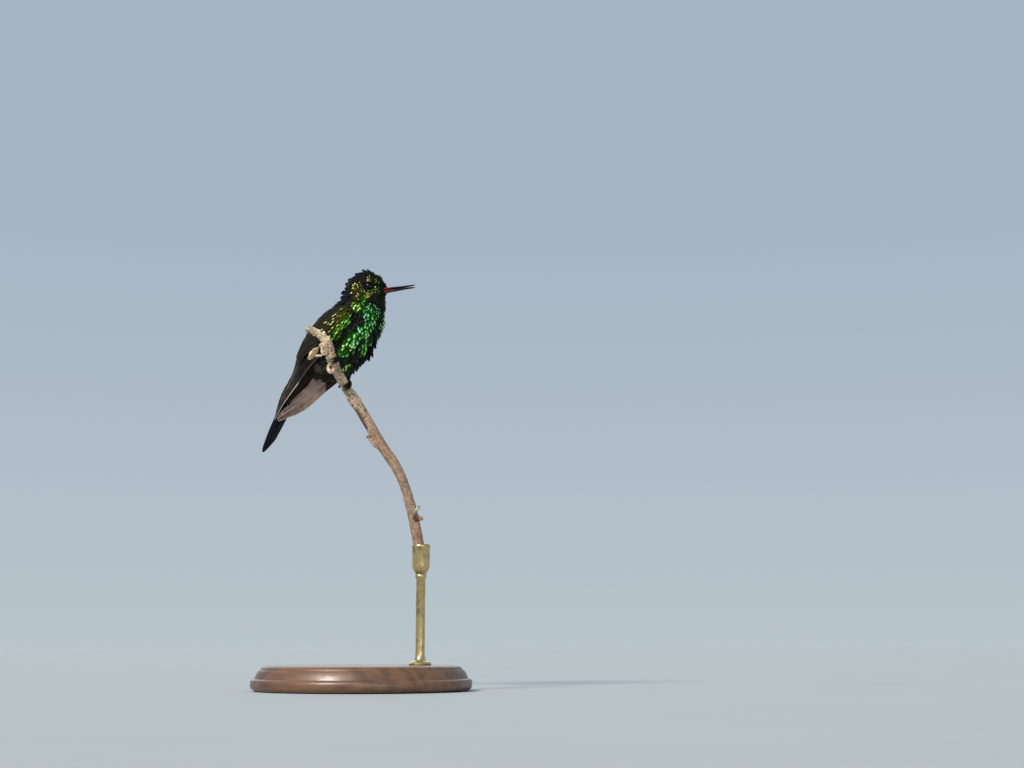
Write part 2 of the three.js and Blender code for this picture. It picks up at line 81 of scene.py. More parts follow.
MM = 0.001
EYE = np.array([9.3, 3.8, 32.6])  # the left eye's centre; the right one mirrors it
EYE_RADIUS = 1.85
BILL_BASE = np.array([13.4, 0.0, 31.8])
FLESH = ("trunk", "neck", "head", "tail_coverts", "thigh_left", "thigh_right")
SIDES = {"right": -1, "left": 1}
BODY_TRIES, COVERT_TRIES = 150000, 12000  # places drawn for small feathers, before they are thinned out
DOWN_COUNT, UNDERTAIL_COUNT, LID_COUNT = 300, 22, 260
SKIN_GRID, BARK_GRID, FOOT_GRID = 0.30, 0.20, 0.10  # steps of the grids that pieces are remeshed on
BLOCK = 4000  # points that are worked on at a time
LONG_PATCH = (0.94, 0.085)  # a long feather's size on the OFBake map


def node_middle(node):
    low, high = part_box(node)
    return (np.array(low) + np.array(high)) / 2


# The bird's origin in the scene: half way between the eyes, less the eyes' place in the bird.
ORIGIN = (node_middle("eye_left") + node_middle("eye_right")) / 2 - EYE * (MM, 0, MM)


def place(points):
    """Scene metres of points given in the bird's millimetres."""
    return np.asarray(points, float) * MM + ORIGIN


def in_bird(points):
    """The bird's millimetres of points given in scene metres."""
    return (np.asarray(points, float) - ORIGIN) / MM


# ---- settings --------------------------------------------------------------------------------------
def colour(name, description, value):
    return FloatVectorProperty(
        name=name, description=description, subtype="COLOR", size=3, min=0.0, max=1.0, default=value
    )


def length(name, description, value, low, high):
    return FloatProperty(
        name=name, description=description, default=value * MM, min=low * MM, max=high * MM, unit="LENGTH"
    )


class HummingbirdPlumage(bpy.types.PropertyGroup):
    coat_depth: length("Coat depth", "How far the skin lies under the feathers' outline", 0.62, 0.2, 1.5)
    feather_scale: FloatProperty(
        name="Feather scale", description="Size of the body feathers against the usual", default=1.0,
        min=0.6, max=1.6, subtype="FACTOR",
    )
    seed: IntProperty(name="Seed", description="Start of the feathers' random draws", default=11)
    # The flash colours, and the glow round them, are painted glints: bright colour painted in fixed places
    # where the iridescent feathers caught the sun.
    gold: colour("Gold flash", "Flash of the cheek and ear feathers", (0.54, 0.53, 0.07))
    lime: colour("Lime flash", "Flash along the wing bend, the flank and the low cheek", (0.42, 0.86, 0.08))
    emerald: colour("Emerald flash", "Flash of the breast feathers", (0.20, 0.86, 0.20))
    turquoise: colour("Turquoise flash", "Flash of the throat and upper breast", (0.36, 0.92, 0.46))
    bronze: colour("Bronze", "Flash of the shoulders and back", (0.33, 0.31, 0.035))
    shade: colour("Shade", "Feathers turned away from the light", (0.0120, 0.0155, 0.0105))
    glow: FloatProperty(
        name="Glow", description="Depth of the colour round the flashes", default=0.17, min=0.0, max=0.5,
        subtype="FACTOR",
    )
    vent: colour("Vent", "Sooty brown feathers under the tail", (0.0370, 0.0280, 0.0190))
    down: colour("Down", "Pale down beside the tail", (0.36, 0.34, 0.30))


class HummingbirdWings(bpy.types.PropertyGroup):
    primary_width: length("Primary width", "Widest part of a flight feather", 3.6, 2, 5)
    upper: colour("Upper side", "Upper side of the flight feathers", (0.0210, 0.0145, 0.0100))
    # The lower side is paler than the upper, and painted brighter still: painted light that shines through
    # the feathers.
    lower: colour("Lower side", "Lower side of the flight feathers", (0.315, 0.215, 0.172))
    edge: colour("Feather edge", "Worn pale edge of the flight feathers, above", (0.50, 0.46, 0.38))
    lower_edge: colour("Lower edge", "Worn pale edge of the flight feathers, below", (0.66, 0.54, 0.46))
    tail: colour("Tail", "Blue-black tail feathers", (0.0050, 0.0062, 0.0090))


class HummingbirdHead(bpy.types.PropertyGroup):
    bill_base: colour("Bill base", "Dull red base of the bill", (0.17, 0.024, 0.020))
    bill_tip: colour("Bill tip", "Black end of the bill", (0.004, 0.005, 0.009))
    lid: colour("Lid", "Bare skin round the eye", (0.006, 0.005, 0.005))


class HummingbirdPerch(bpy.types.PropertyGroup):
    bleached: colour("Bleached bark", "The twig's dry upper end", (0.64, 0.495, 0.335))
    bark: colour("Bark", "The twig below the feet", (0.360, 0.245, 0.170))


class HummingbirdStand(bpy.types.PropertyGroup):
    wood: colour("Wood", "The turned base", (0.15, 0.070, 0.032))
    brass: colour("Brass", "The rod and its cup", (0.60, 0.46, 0.22))


class HummingbirdStage(bpy.types.PropertyGroup):
    lens: FloatProperty(
        name="Lens", description="Focal length on a 36 mm wide frame", default=52.472, min=20, max=200,
        unit="CAMERA",
    )
    backdrop: colour("Backdrop", "Pale sky behind the bird", (0.380, 0.460, 0.556))
    horizon: colour("Horizon", "Paler sky near the floor", (0.484, 0.552, 0.600))
    floor: colour("Floor", "Pale floor", (0.375, 0.40, 0.405))


# ---- making and finishing pieces -------------------------------------------------------------------
def select_only(*objects):
    bpy.ops.object.select_all(action="DESELECT")
    for obj in objects:
        obj.select_set(True)
    bpy.context.view_layer.objects.active = objects[0]


def added(name):
    """The object that was just added or made active, named."""
    obj = bpy.context.view_layer.objects.active
    obj.name = name
    obj.data.name = name
    return obj


def primitive(kind, name, **options):
    """One of Blender's ready-made meshes, named."""
    bpy.ops.object.select_all(action="DESELECT")
    getattr(bpy.ops.mesh, f"primitive_{kind}_add")(**options)
    return added(name)


def apply_modifiers(obj):
    select_only(obj)
    for modifier in list(obj.modifiers):
        bpy.ops.object.modifier_apply(modifier=modifier.name)


def settle(obj):
    """Writes the object's own place, turn and scale into its mesh."""
    select_only(obj)
    bpy.ops.object.transform_apply(location=True, rotation=True, scale=True)


def clean(obj, distance=1e-7):
    """Merges doubled points and turns the faces outwards."""
    select_only(obj)
    bpy.ops.object.mode_set(mode="EDIT")
    bpy.ops.mesh.select_all(action="SELECT")
    bpy.ops.mesh.remove_doubles(threshold=distance)
    bpy.ops.mesh.normals_make_consistent(inside=False)
    bpy.ops.object.mode_set(mode="OBJECT")


def join(name, objects):
    select_only(*objects)
    if len(objects) > 1:
        bpy.ops.object.join()
    return added(name)


def smooth(obj, degrees=None):
    select_only(obj)
    if degrees is None:
        bpy.ops.object.shade_smooth()
    else:
        bpy.ops.object.shade_smooth_by_angle(angle=math.radians(degrees))


def finish_piece(obj, material, slot, *nodes):
    """Gives a piece its material, sets it on the part's one body and hides what it stands for. The slot is
    not used.
    """
    obj.data.materials.clear()
    obj.data.materials.append(material)
    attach(obj, "root")
    if nodes:
        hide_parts(*nodes)


def triples(items, name, kind=float):
    """Three numbers for each of a mesh's items, as rows."""
    flat = np.empty(len(items) * 3, kind)
    items.foreach_get(name, flat)
    return flat.reshape(-1, 3)


def points_of(obj):
    return in_bird(triples(obj.data.vertices, "co"))


def set_points(obj, points):
    obj.data.vertices.foreach_set("co", place(points).ravel())
    obj.data.update()


def mark(mesh, name, values, domain="POINT"):
    """Writes one colour, or one number, for each of a mesh's points or corners."""
    if values.ndim == 1:
        mesh.attributes.new(name, "FLOAT", domain).data.foreach_set("value", values)
    else:
        rgba = np.column_stack([values, np.ones(len(values))])
        mesh.attributes.new(name, "FLOAT_COLOR", domain).data.foreach_set("color", rgba.ravel())


def modify(obj, name, kind, **settings):
    """Adds a modifier with its settings."""
    modifier = obj.modifiers.new(name, kind)
    for key, value in settings.items():
        setattr(modifier, key, value)


def remesh(obj, size_mm):
    modify(obj, "remesh", "REMESH", mode="VOXEL", voxel_size=size_mm * MM, use_smooth_shade=True)


def relax(obj, times):
    modify(obj, "relax", "SMOOTH", iterations=times, factor=0.5)


def rounded(obj):
    modify(obj, "rounding", "SUBSURF", levels=1, render_levels=1)


def roughen(obj, kind, size_mm, strength_mm):
    """Pushes a mesh's points in and out by a cloudy pattern."""
    texture = bpy.data.textures.new(f"{obj.name}_relief_{size_mm}", kind)
    texture.noise_scale = size_mm * MM
    modify(obj, "relief", "DISPLACE", texture=texture, texture_coords="LOCAL", strength=strength_mm * MM)


def catmull(stations, count):
    """A smooth curve through stations (rows of numbers), at count even steps of their order."""
    rows = np.asarray(stations, float)
    padded = np.vstack([2 * rows[0] - rows[1], rows, 2 * rows[-1] - rows[-2]])
    at = np.linspace(0, len(rows) - 1, count)
    k = np.minimum(at.astype(int), len(rows) - 2)
    f = (at - k)[:, None]
    a, b, c, d = (padded[k + i] for i in range(4))
    return 0.5 * (2 * b + (c - a) * f + (2 * a - 5 * b + 4 * c - d) * f**2 + (3 * b - a - 3 * c + d) * f**3)


def along_curve(rows, count):
    """Dense rows taken again at even steps of the length of their first three numbers."""
    steps = np.linalg.norm(np.diff(rows[:, :3], axis=0), axis=1)
    reach = np.concatenate([[0], np.cumsum(steps)])
    even = np.linspace(0, reach[-1], count)
    return np.column_stack([np.interp(even, reach, column) for column in rows.T])


def unit(vectors):
    return vectors / np.maximum(np.linalg.norm(vectors, axis=-1, keepdims=True), 1e-12)


def ease(x, low, high):
    t = np.clip((x - low) / (high - low), 0, 1)
    return t * t * (3 - 2 * t)


def between(x, start, full, fading, gone):
    """Rises from 0 at start to 1 at full, and falls again from 1 at fading to 0 at gone."""
    return ease(x, start, full) * (1 - ease(x, fading, gone))


def mixed(a, b, share):
    return a + (b - a) * share


def tube(name, rows, sides=12):
    """A closed round tube along rows of [x, y, z, radius] in the bird's frame."""
    bpy.ops.curve.primitive_nurbs_path_add(location=(0, 0, 0))
    obj = added(name)
    curve = obj.data
    curve.splines.clear()
    spline = curve.splines.new("POLY")
    spline.points.add(len(rows) - 1)
    spline.points.foreach_set("co", np.column_stack([place(rows[:, :3]), np.ones(len(rows))]).ravel())
    spline.points.foreach_set("radius", rows[:, 3].copy())
    curve.dimensions = "3D"
    curve.bevel_depth = MM
    curve.bevel_resolution = sides // 2 - 2
    curve.use_fill_caps = True
    select_only(obj)
    bpy.ops.object.convert(target="MESH")
    obj = added(name)
    clean(obj)
    smooth(obj)
    return obj


def ball(name, middle, radii, segments=24, turn=None):
    """A ball at a place in the bird's frame, drawn out to three radii and turned."""
    obj = primitive("uv_sphere", name, segments=segments, ring_count=segments // 2, radius=1)
    obj.scale = Vector(radii) * MM
    if turn is not None:
        obj.rotation_mode = "QUATERNION"
        obj.rotation_quaternion = turn
    obj.location = place(middle)
    settle(obj)
    smooth(obj)
    return obj


def turned(name, middle, moulding, sides, degrees):
    """A form turned on a lathe, from its moulding's heights and radii in millimetres. It stands at middle,
    in scene metres, and edges sharper than degrees stay crisp."""
    x, y = middle
    form = drawn_out(name, [((x, y, h * MM), (r * MM, r * MM)) for h, r in moulding], sides, "Z")
    smooth(form, degrees)
    return form


def drop(name, start, end, thickness, width):
    """A flattened drop of bark between two places."""
    start, end = np.array(start, float), np.array(end, float)
    line = end - start
    turn = Vector((0, 0, 1)).rotation_difference(Vector(line))
    radii = (thickness / 2, width / 2, np.linalg.norm(line) / 2)
    return ball(name, (start + end) / 2, radii, 16, turn)


def drawn_out(name, stations, sides, axis):
    """A closed form drawn from a disc by extruding and resizing it. Each station is [centre, half sizes]
    in scene metres, and the disc stands across axis, "X" or "Z"."""
    centre, (wide, deep) = stations[0]
    turn = (math.radians(90), 0, math.radians(90)) if axis == "X" else (0, 0, 0)
    obj = primitive("circle", name, vertices=sides, radius=1, fill_type="NGON", rotation=turn)
    obj.scale = (wide, deep, 1)
    obj.location = centre
    settle(obj)
    bpy.ops.object.mode_set(mode="EDIT")
    bpy.ops.mesh.select_all(action="SELECT")
    for (start, (was_wide, was_deep)), (end, (wide, deep)) in zip(stations, stations[1:]):
        step = Vector(end) - Vector(start)
        bpy.ops.mesh.extrude_region_move(TRANSFORM_OT_translate={"value": step})
        grow = (wide / was_wide, deep / was_deep)
        grow = (1, grow[0], grow[1]) if axis == "X" else (grow[0], grow[1], 1)
        bpy.ops.transform.resize(value=grow, center_override=end)
    bpy.ops.object.mode_set(mode="OBJECT")
    clean(obj)
    return obj


# ---- materials -------------------------------------------------------------------------------------
class Nodes:
    """A node tree, with short ways to add and join nodes."""

    def __init__(self, tree):
        self.tree = tree

    def feed(self, value, socket):
        if isinstance(value, bpy.types.NodeSocket):
            self.tree.links.new(value, socket)
        elif socket.type == "RGBA":
            socket.default_value = (*value, 1.0)
        else:
            socket.default_value = value

    def add(self, kind, inputs=None, **settings):
        node = self.tree.nodes.new("ShaderNode" + kind)
        for key, value in settings.items():
            setattr(node, key, value)
        for key, value in (inputs or {}).items():
            self.feed(value, node.inputs[key])
        return node

    def math(self, operation, a, b=0.0, c=0.0, clamp=False):
        return self.add("Math", {0: a, 1: b, 2: c}, operation=operation, use_clamp=clamp).outputs[0]

    def times(self, a, b, clamp=False):
        return self.math("MULTIPLY", a, b, clamp=clamp)

    def line(self, a, slope, start):
        """A number times a slope, plus a start."""
        return self.math("MULTIPLY_ADD", a, slope, start)

    def size(self, a):
        """A number without its sign."""
        return self.math("ABSOLUTE", a)

    def power(self, a, exponent):
        return self.math("POWER", a, exponent)

    def mix(self, factor, a, b, blend="MIX"):
        node = self.add("Mix", {0: factor, 6: a, 7: b}, data_type="RGBA", blend_type=blend)
        return node.outputs[2]

    def shaded(self, tint, share):
        """A colour multiplied by a number."""
        grey = self.add("CombineColor", {0: share, 1: share, 2: share}).outputs[0]
        return self.mix(1.0, tint, grey, "MULTIPLY")

    def ramp(self, value, low, high, a=0.0, b=1.0):
        inputs = {0: value, 1: low, 2: high, 3: a, 4: b}
        return self.add("MapRange", inputs, interpolation_type="SMOOTHSTEP").outputs[0]

    def stretched(self, vector, scale):
        return self.add("Mapping", {"Vector": vector, "Scale": scale}).outputs[0]

    def place_mm(self, stretch=(1, 1, 1)):
        """The point's place in millimetres, stretched."""
        return self.stretched(self.add("TexCoord").outputs["Object"], [s / MM for s in stretch])

    def split(self, vector):
        return self.add("SeparateXYZ", {0: vector}).outputs

    def noise(self, vector, scale, detail, roughness=0.55):
        inputs = {"Vector": vector, "Scale": scale, "Detail": detail, "Roughness": roughness}
        return self.add("TexNoise", inputs).outputs[0]

    def grain(self, scale, detail, roughness=0.55, stretch=(1, 1, 1)):
        """Noise that is fixed to the point's place, stretched."""
        return self.noise(self.place_mm(stretch), scale, detail, roughness)

    def attribute(self, name, output="Color"):
        return self.add("Attribute", attribute_name=name).outputs[output]

    def bump(self, height, distance_mm, strength=1.0):
        inputs = {"Height": height, "Distance": distance_mm * MM, "Strength": strength}
        return self.add("Bump", inputs).outputs[0]

    def vane(self):
        """How far along a feather a point lies, and how far across it from -1 to 1."""
        along, across, _ = self.split(self.add("UVMap", uv_map="Vane").outputs[0])
        return along, self.line(across, 2.0, -1.0)


class Finish(Nodes):
    """A material's node tree."""

    def __init__(self, name, **constants):
        self.material = bpy.data.materials.new(name)
        self.material.use_nodes = True
        super().__init__(self.material.node_tree)
        self.set(**constants)

    def set(self, **sockets):
        """Feeds the material's surface, and gives back the material."""
        for socket, value in sockets.items():
            self.feed(value, self.tree.nodes["Principled BSDF"].inputs[socket.replace("_", " ")])
        return self.material


def plumage_finish():
    """Iridescent body feathers: a painted glint near each tip, with a deeper rim and a pale painted highlight
    at its core, on a dark vane with fine barbs.
    """
    m = Finish("glittering_plumage", Specular_IOR_Level=0.04)
    along, across = m.vane()
    place_mm = m.place_mm()
    neck_top, head_low = 125.0, 128.5  # heights in the scene, in mm; above them flashes are crescents
    head = m.ramp(m.split(place_mm)[2], neck_top, head_low)
    wander = m.line(m.noise(place_mm, 1.8, 3.0), 2.2, -1.1)
    bow = m.times(m.power(across, 2.0), m.times(head, 0.34))
    centre = m.math("SUBTRACT", m.math("ADD", along, bow), m.line(head, 0.08, 0.80))
    ahead = m.power(m.math("DIVIDE", centre, m.line(head, -0.185, 0.28)), 2.0)
    aside = m.power(m.math("DIVIDE", across, m.line(head, 0.40, 0.42)), 2.0)
    reach = m.math("ADD", m.power(m.math("ADD", ahead, aside), 0.5), wander)
    strength = m.attribute("flash", "Fac")
    rim = m.times(m.ramp(reach, 1.5, 1.0), strength, clamp=True)
    heart = m.times(m.ramp(reach, 0.95, 0.55), strength, clamp=True)
    slant = m.line(m.size(across), -0.28, along)
    barbs = m.math("SINE", m.times(slant, 110.0))
    shaft = m.ramp(m.size(across), 0.08, 0.02)
    dark = m.shaded(m.attribute("dark"), m.line(barbs, 0.22, 0.95))
    dark = m.mix(m.times(shaft, 0.4), dark, (0.006, 0.005, 0.003))
    bright = m.attribute("bright")
    deep = m.shaded(m.add("Gamma", {0: bright, 1: 1.7}).outputs[0], 0.42)
    tint = m.mix(heart, m.mix(rim, dark, deep), bright)
    # The pale core is a painted highlight in the glint's heart, whiter where the glint is strong.
    pale = m.mix(0.62, bright, (0.95, 1.0, 0.72))
    core = m.times(m.ramp(reach, 0.90, 0.40), m.power(strength, 2.5))
    tint = m.mix(m.times(core, m.line(head, -0.42, 0.95)), tint, pale)
    relief = m.bump(m.line(barbs, 0.5, shaft), 0.012, 0.5)
    return m.set(
        Base_Color=tint,
        Metallic=m.ramp(rim, 0.0, 1.0, 0.0, 0.3),
        Roughness=m.ramp(heart, 0.0, 1.0, 0.6, 0.36),
        Normal=relief,
    )


def skin_finish():
    """The skin under the coat, with the coat's own markings."""
    m = Finish("feathered_skin", Roughness=0.8, Specular_IOR_Level=0.03)
    grain = m.grain(3.0, 4.0)
    tint = m.shaded(m.attribute("dark"), m.ramp(grain, 0.3, 0.7, 0.5, 1.0))
    return m.set(Base_Color=tint, Normal=m.bump(grain, 0.06, 0.6))


def flight_finish(name, roughness):
    """Long feathers: vanes with slanting barbs, a pale worn edge and a raised shaft. Painted light makes
    their lower side lighter near the base and darker towards the tip, and painted shade darkens the roots and
    the far wing's lower side near the body.
    """
    m = Finish(name, Roughness=roughness, Specular_IOR_Level=0.05)
    along, across = m.vane()
    slant = m.line(m.size(across), -0.6, m.times(along, 9.0))
    barbs = m.math("SINE", m.times(slant, 95.0))
    wave = m.ramp(m.grain(0.5, 3.0), 0.3, 0.7, 0.62, 1.3)
    underside = m.ramp(m.split(m.attribute("dark"))[0], 0.10, 0.16)
    # Painted light on the lower side: brighter towards the feathers' bases, darker towards their tips.
    fading = m.math("SUBTRACT", m.ramp(along, 0.55, 0.98, 1.95, 0.50), 1.0)
    wave = m.times(wave, m.line(underside, fading, 1.0))
    tint = m.shaded(m.attribute("dark"), m.line(barbs, 0.12, wave))
    ahead, behind = m.ramp(across, 0.80, 0.90), m.ramp(across, -0.35, -0.98, 0.0, 0.8)
    edge = m.times(m.math("MAXIMUM", ahead, behind), m.attribute("flash", "Fac"))
    tint = m.mix(edge, tint, m.attribute("bright"))
    shaft = m.ramp(m.size(across), 0.07, 0.02)
    tint = m.mix(m.times(shaft, 0.7), tint, (0.022, 0.015, 0.011))
    # Painted shade: over the roots under the coverts, and over the far wing's lower side near the body.
    at_mm = m.split(m.place_mm())
    far_underside = m.times(underside, m.ramp(at_mm[1], -1.0, 0.0))
    root = m.ramp(along, 0.585, 0.55, 0.0, 0.9)
    painted_shade_near_body = m.math("SUBTRACT", m.ramp(at_mm[0], -20.2, -19.5, 0.0, 0.9), root)
    tint = m.mix(m.line(far_underside, painted_shade_near_body, root), tint, (0.012, 0.0095, 0.008))
    return m.set(Base_Color=tint, Normal=m.bump(m.line(barbs, 0.4, shaft), 0.02, 0.6))


def eye_finish():
    """A near-black wet eye with a dark brown iris."""
    m = Finish("wet_eye", Roughness=0.08, Specular_IOR_Level=0.12)
    radius = m.attribute("from_axis", "Fac")
    fibres = m.grain(2.0, 4.0, stretch=(3, 3, 3))
    iris = m.mix(m.ramp(fibres, 0.3, 0.7), (0.010, 0.005, 0.003), (0.022, 0.010, 0.005))
    tint = m.mix(m.ramp(radius, 0.98, 1.06), (0.002, 0.002, 0.002), iris)
    return m.set(Base_Color=m.mix(m.ramp(radius, 1.5, 1.62), tint, (0.004, 0.004, 0.004)))


def lid_finish(settings):
    m = Finish("lid_skin", Roughness=0.7, Specular_IOR_Level=0.03)
    grain = m.grain(6.0, 3.0)
    tint = m.shaded((*settings.lid,), m.ramp(grain, 0.2, 0.8, 0.6, 1.4))
    return m.set(Base_Color=tint, Normal=m.bump(grain, 0.05, 0.8))


def bill_finish(name, settings, black_from, black_to):
    """Horn that turns from dull red at the base to black at the tip."""
    m = Finish(name, Roughness=0.42, Specular_IOR_Level=0.22)
    along = m.math("SUBTRACT", m.split(m.place_mm())[0], float(ORIGIN[0] / MM))
    wander = m.line(m.grain(1.4, 3.0, stretch=(0.5, 2, 2)), 3.0, -1.5)
    black = m.ramp(m.math("ADD", along, wander), black_from, black_to)
    streaks = m.grain(1.5, 3.0, stretch=(0.4, 4, 4))
    red = m.mix(m.ramp(streaks, 0.3, 0.7), (*settings.bill_base,), (0.055, 0.012, 0.014))
    return m.set(
        Base_Color=m.mix(black, red, (*settings.bill_tip,)),
        Normal=m.bump(streaks, 0.03, 0.5),
    )


def foot_finish():
    """Dark scaly toes: rings of scutes along each toe."""
    m = Finish("scaly_foot", Roughness=0.7, Specular_IOR_Level=0.05)
    rings = m.math("PINGPONG", m.attribute("reach", "Fac"), 0.21)
    seam = m.ramp(rings, 0.0, 0.06)
    grain = m.grain(5.0, 3.0)
    tint = m.mix(seam, (0.004, 0.0028, 0.002), (0.0150, 0.0100, 0.0070))
    tint = m.shaded(tint, m.ramp(grain, 0.2, 0.8, 0.7, 1.5))
    return m.set(Base_Color=tint, Normal=m.bump(m.line(grain, 0.3, seam), 0.05, 0.9))


def claw_finish():
    m = Finish("claw_horn", Roughness=0.5, Specular_IOR_Level=0.15)
    grain = m.grain(4.0, 3.0)
    tint = m.mix(m.ramp(grain, 0.3, 0.7), (0.006, 0.005, 0.005), (0.020, 0.016, 0.013))
    return m.set(Base_Color=tint, Normal=m.bump(grain, 0.02, 0.5))


def bark_finish():
    """Dry bark: streaks along the twig, fine cracks painted dark with painted shade, and specks over its
    painted patches.
    """
    m = Finish("dry_bark", Specular_IOR_Level=0.25)
    grain = m.attribute("grain", "Vector")
    streaks = m.noise(m.stretched(grain, (0.35, 3.0, 3.0)), 1.0, 5.0, 0.6)
    cracks = m.noise(m.stretched(grain, (0.8, 5.5, 5.5)), 1.0, 4.0, 0.65)
    specks = m.grain(2.2, 4.0, 0.6)
    blotches = m.grain(0.55, 2.0)
    tint = m.shaded(m.attribute("bark"), m.ramp(streaks, 0.30, 0.70, 0.50, 1.32))
    rusty = m.mix(1.0, tint, (1.0, 0.78, 0.60), "MULTIPLY")
    tint = m.mix(m.ramp(blotches, 0.48, 0.62, 0.0, 0.65), tint, rusty)
    # The cracks are painted dark: painted shade in them.
    tint = m.mix(m.ramp(cracks, 0.42, 0.35), tint, (0.075, 0.048, 0.028))
    tint = m.mix(m.times(m.ramp(specks, 0.64, 0.72), 0.5), tint, (0.60, 0.55, 0.42))
    height = m.line(cracks, 0.8, m.line(specks, 0.5, streaks))
    return m.set(
        Base_Color=tint, Roughness=m.ramp(streaks, 0.3, 0.7, 0.95, 0.75), Normal=m.bump(height, 0.28, 0.9)
    )


def wood_finish(settings):
    """Turned, oiled wood with its grain running across the base."""
    m = Finish("turned_wood", Coat_Weight=0.25, Coat_Roughness=0.22)
    bend = m.grain(0.02, 2.0)
    years = m.grain(1.0, 5.0, 0.6, (0.012, 0.30, 0.30))
    pores = m.grain(1.0, 4.0, 0.7, (0.12, 3.5, 3.5))
    dark = tuple(c * 0.42 for c in settings.wood)
    tint = m.mix(m.ramp(m.line(bend, 0.4, years), 0.52, 0.88), dark, (*settings.wood,))
    tint = m.mix(m.times(m.ramp(pores, 0.42, 0.34), 0.7), tint, (0.018, 0.009, 0.005))
    return m.set(
        Base_Color=tint, Roughness=m.ramp(pores, 0.3, 0.7, 0.55, 0.34), Normal=m.bump(pores, 0.05, 0.35)
    )


def brass_finish(settings):
    """Drawn brass with fine turning lines and light tarnish."""
    m = Finish("aged_brass", Metallic=1.0)
    tarnish = m.grain(0.35, 4.0)
    lines = m.grain(1.0, 2.0, stretch=(0.2, 0.2, 14))
    aged = tuple(c * 0.45 for c in settings.brass)
    tint = m.mix(m.ramp(tarnish, 0.45, 0.75), (*settings.brass,), aged)
    return m.set(
        Base_Color=tint, Roughness=m.ramp(tarnish, 0.3, 0.8, 0.24, 0.5), Normal=m.bump(lines, 0.02, 0.3)
    )


def paper_finish(name, tint):
    """Matt studio paper."""
    m = Finish(name, Roughness=0.9, Specular_IOR_Level=0.1)
    return m.set(Base_Color=m.shaded(tint, m.ramp(m.grain(0.02, 3.0), 0.2, 0.8, 0.985, 1.015)))


# ---- feathers --------------------------------------------------------------------------------------
PATCH = 0.003  # a feather's width on the OFBake map
ROWS_AT = np.array([0, 0.22, 0.46, 0.68, 0.86, 0.96, 1.0])  # a small feather's rows, from root to tip
SMALL_COLUMNS, LONG_COLUMNS = 4, 6  # faces across a small feather and a long one
CONTOUR = np.array([0.16, 0.55, 0.86, 1.0, 0.88, 0.56, 0.16])  # its widths there
POINTED = np.array([0.4, 0.8, 1.0, 0.9, 0.6, 0.3, 0.06])  # a raised feather


def vane_faces(rows, columns):
    """Faces of one closed vane: an upper grid, and a lower sheet of two strips that shares its rim."""
    def at(i, j):
        return i * (columns + 1) + j

    keel = [(rows + 1) * (columns + 1) + i for i in range(rows + 1)]
    top = [
        (at(i, j), at(i, j + 1), at(i + 1, j + 1), at(i + 1, j)) for i in range(rows) for j in range(columns)
    ]
    under = []
    for i in range(rows):
        under.append((keel[i], keel[i + 1], at(i + 1, 0), at(i, 0)))
        under.append((at(i, columns), at(i + 1, columns), keel[i + 1], keel[i]))
    caps = [(at(0, j + 1), at(0, j), keel[0]) for j in range(columns)]
    caps += [(at(rows, j), at(rows, j + 1), keel[rows]) for j in range(columns)]
    return np.array(top), np.array(under), np.array(caps)


def vane_map(rows_at, columns_at):
    """The Vane map of one vane's points: its grid, then the keel under its middle."""
    grid = np.stack(np.meshgrid(rows_at, columns_at, indexing="ij"), axis=-1).reshape(-1, 2)
    return np.concatenate([grid, np.column_stack([rows_at, np.full(len(rows_at), 0.5)])])


def vane_points(paths, normals, widths, rows_at, outline, columns=SMALL_COLUMNS, cup=0.25, thickness=0.05):
    """Points of many vanes and the Vane map that they share. paths and normals are (vanes, rows + 1, 3),
    and widths one number for each vane."""
    count = len(paths)
    along = unit(np.gradient(paths, axis=1))
    side = unit(np.cross(normals, along))
    lift = unit(np.cross(along, side))
    v = np.linspace(-1, 1, columns + 1)
    half = widths[:, None] / 2 * outline[None, :]
    across = v[None, None, :] * half[..., None]
    down = -cup * (v**2)[None, None, :] * half[..., None]
    grid = paths[:, :, None] + side[:, :, None] * across[..., None] + lift[:, :, None] * down[..., None]
    keel = paths - lift * (thickness + cup * half * 0.4)[..., None]
    points = np.concatenate([grid.reshape(count, -1, 3), keel], axis=1)
    return points, vane_map(rows_at, (v + 1) / 2)


def feather_mesh(name, points, vane_uv, rows, columns, roots_uv, colours, mirror=False, patch=(PATCH, PATCH)):
    """One mesh of many vanes, with their Vane and OFBake maps and their colours. A colour is one for each
    vane, or a pair of them for its upper and lower side."""
    count, each = points.shape[:2]
    top, under, caps = vane_faces(rows, columns)
    groups = [(top, 0), (under, 1), (caps, 0)]
    offsets = np.arange(count) * each
    corners, starts, below, owner, start = [], [], [], [], 0
    for faces, is_under in groups:
        if mirror:
            faces = faces[:, ::-1]
        block = faces[None] + offsets[:, None, None]
        sides = faces.shape[1]
        corners.append(block.ravel())
        total = count * len(faces)
        starts.append(start + np.arange(total) * sides)
        start += total * sides
        below.append(np.full(total * sides, is_under))
        owner.append(np.repeat(np.arange(count), len(faces) * sides))
    corners, starts = np.concatenate(corners), np.concatenate(starts)
    below, owner = np.concatenate(below), np.concatenate(owner)
    mesh = bpy.data.meshes.new(name)
    mesh.vertices.add(count * each)
    mesh.vertices.foreach_set("co", place(points.reshape(-1, 3)).ravel())
    mesh.loops.add(len(corners))
    mesh.loops.foreach_set("vertex_index", corners)
    mesh.polygons.add(len(starts))
    mesh.polygons.foreach_set("loop_start", starts)
    mesh.update(calc_edges=True)
    local = vane_uv[corners % each]
    bake = roots_uv[owner] + (local - 0.5) * patch
    for layer, values in (("OFBake", bake), ("Vane", local)):
        mesh.uv_layers.new(name=layer).uv.foreach_set("vector", values.ravel())
    for attribute, values in colours.items():
        if isinstance(values, tuple):
            values = np.where(below[:, None] == 1, values[1][owner], values[0][owner])
        else:
            values = values[owner]
        mark(mesh, attribute, values, "CORNER")
    mesh.shade_smooth()
    obj = bpy.data.objects.new(name, mesh)
    bpy.context.collection.objects.link(obj)
    return obj


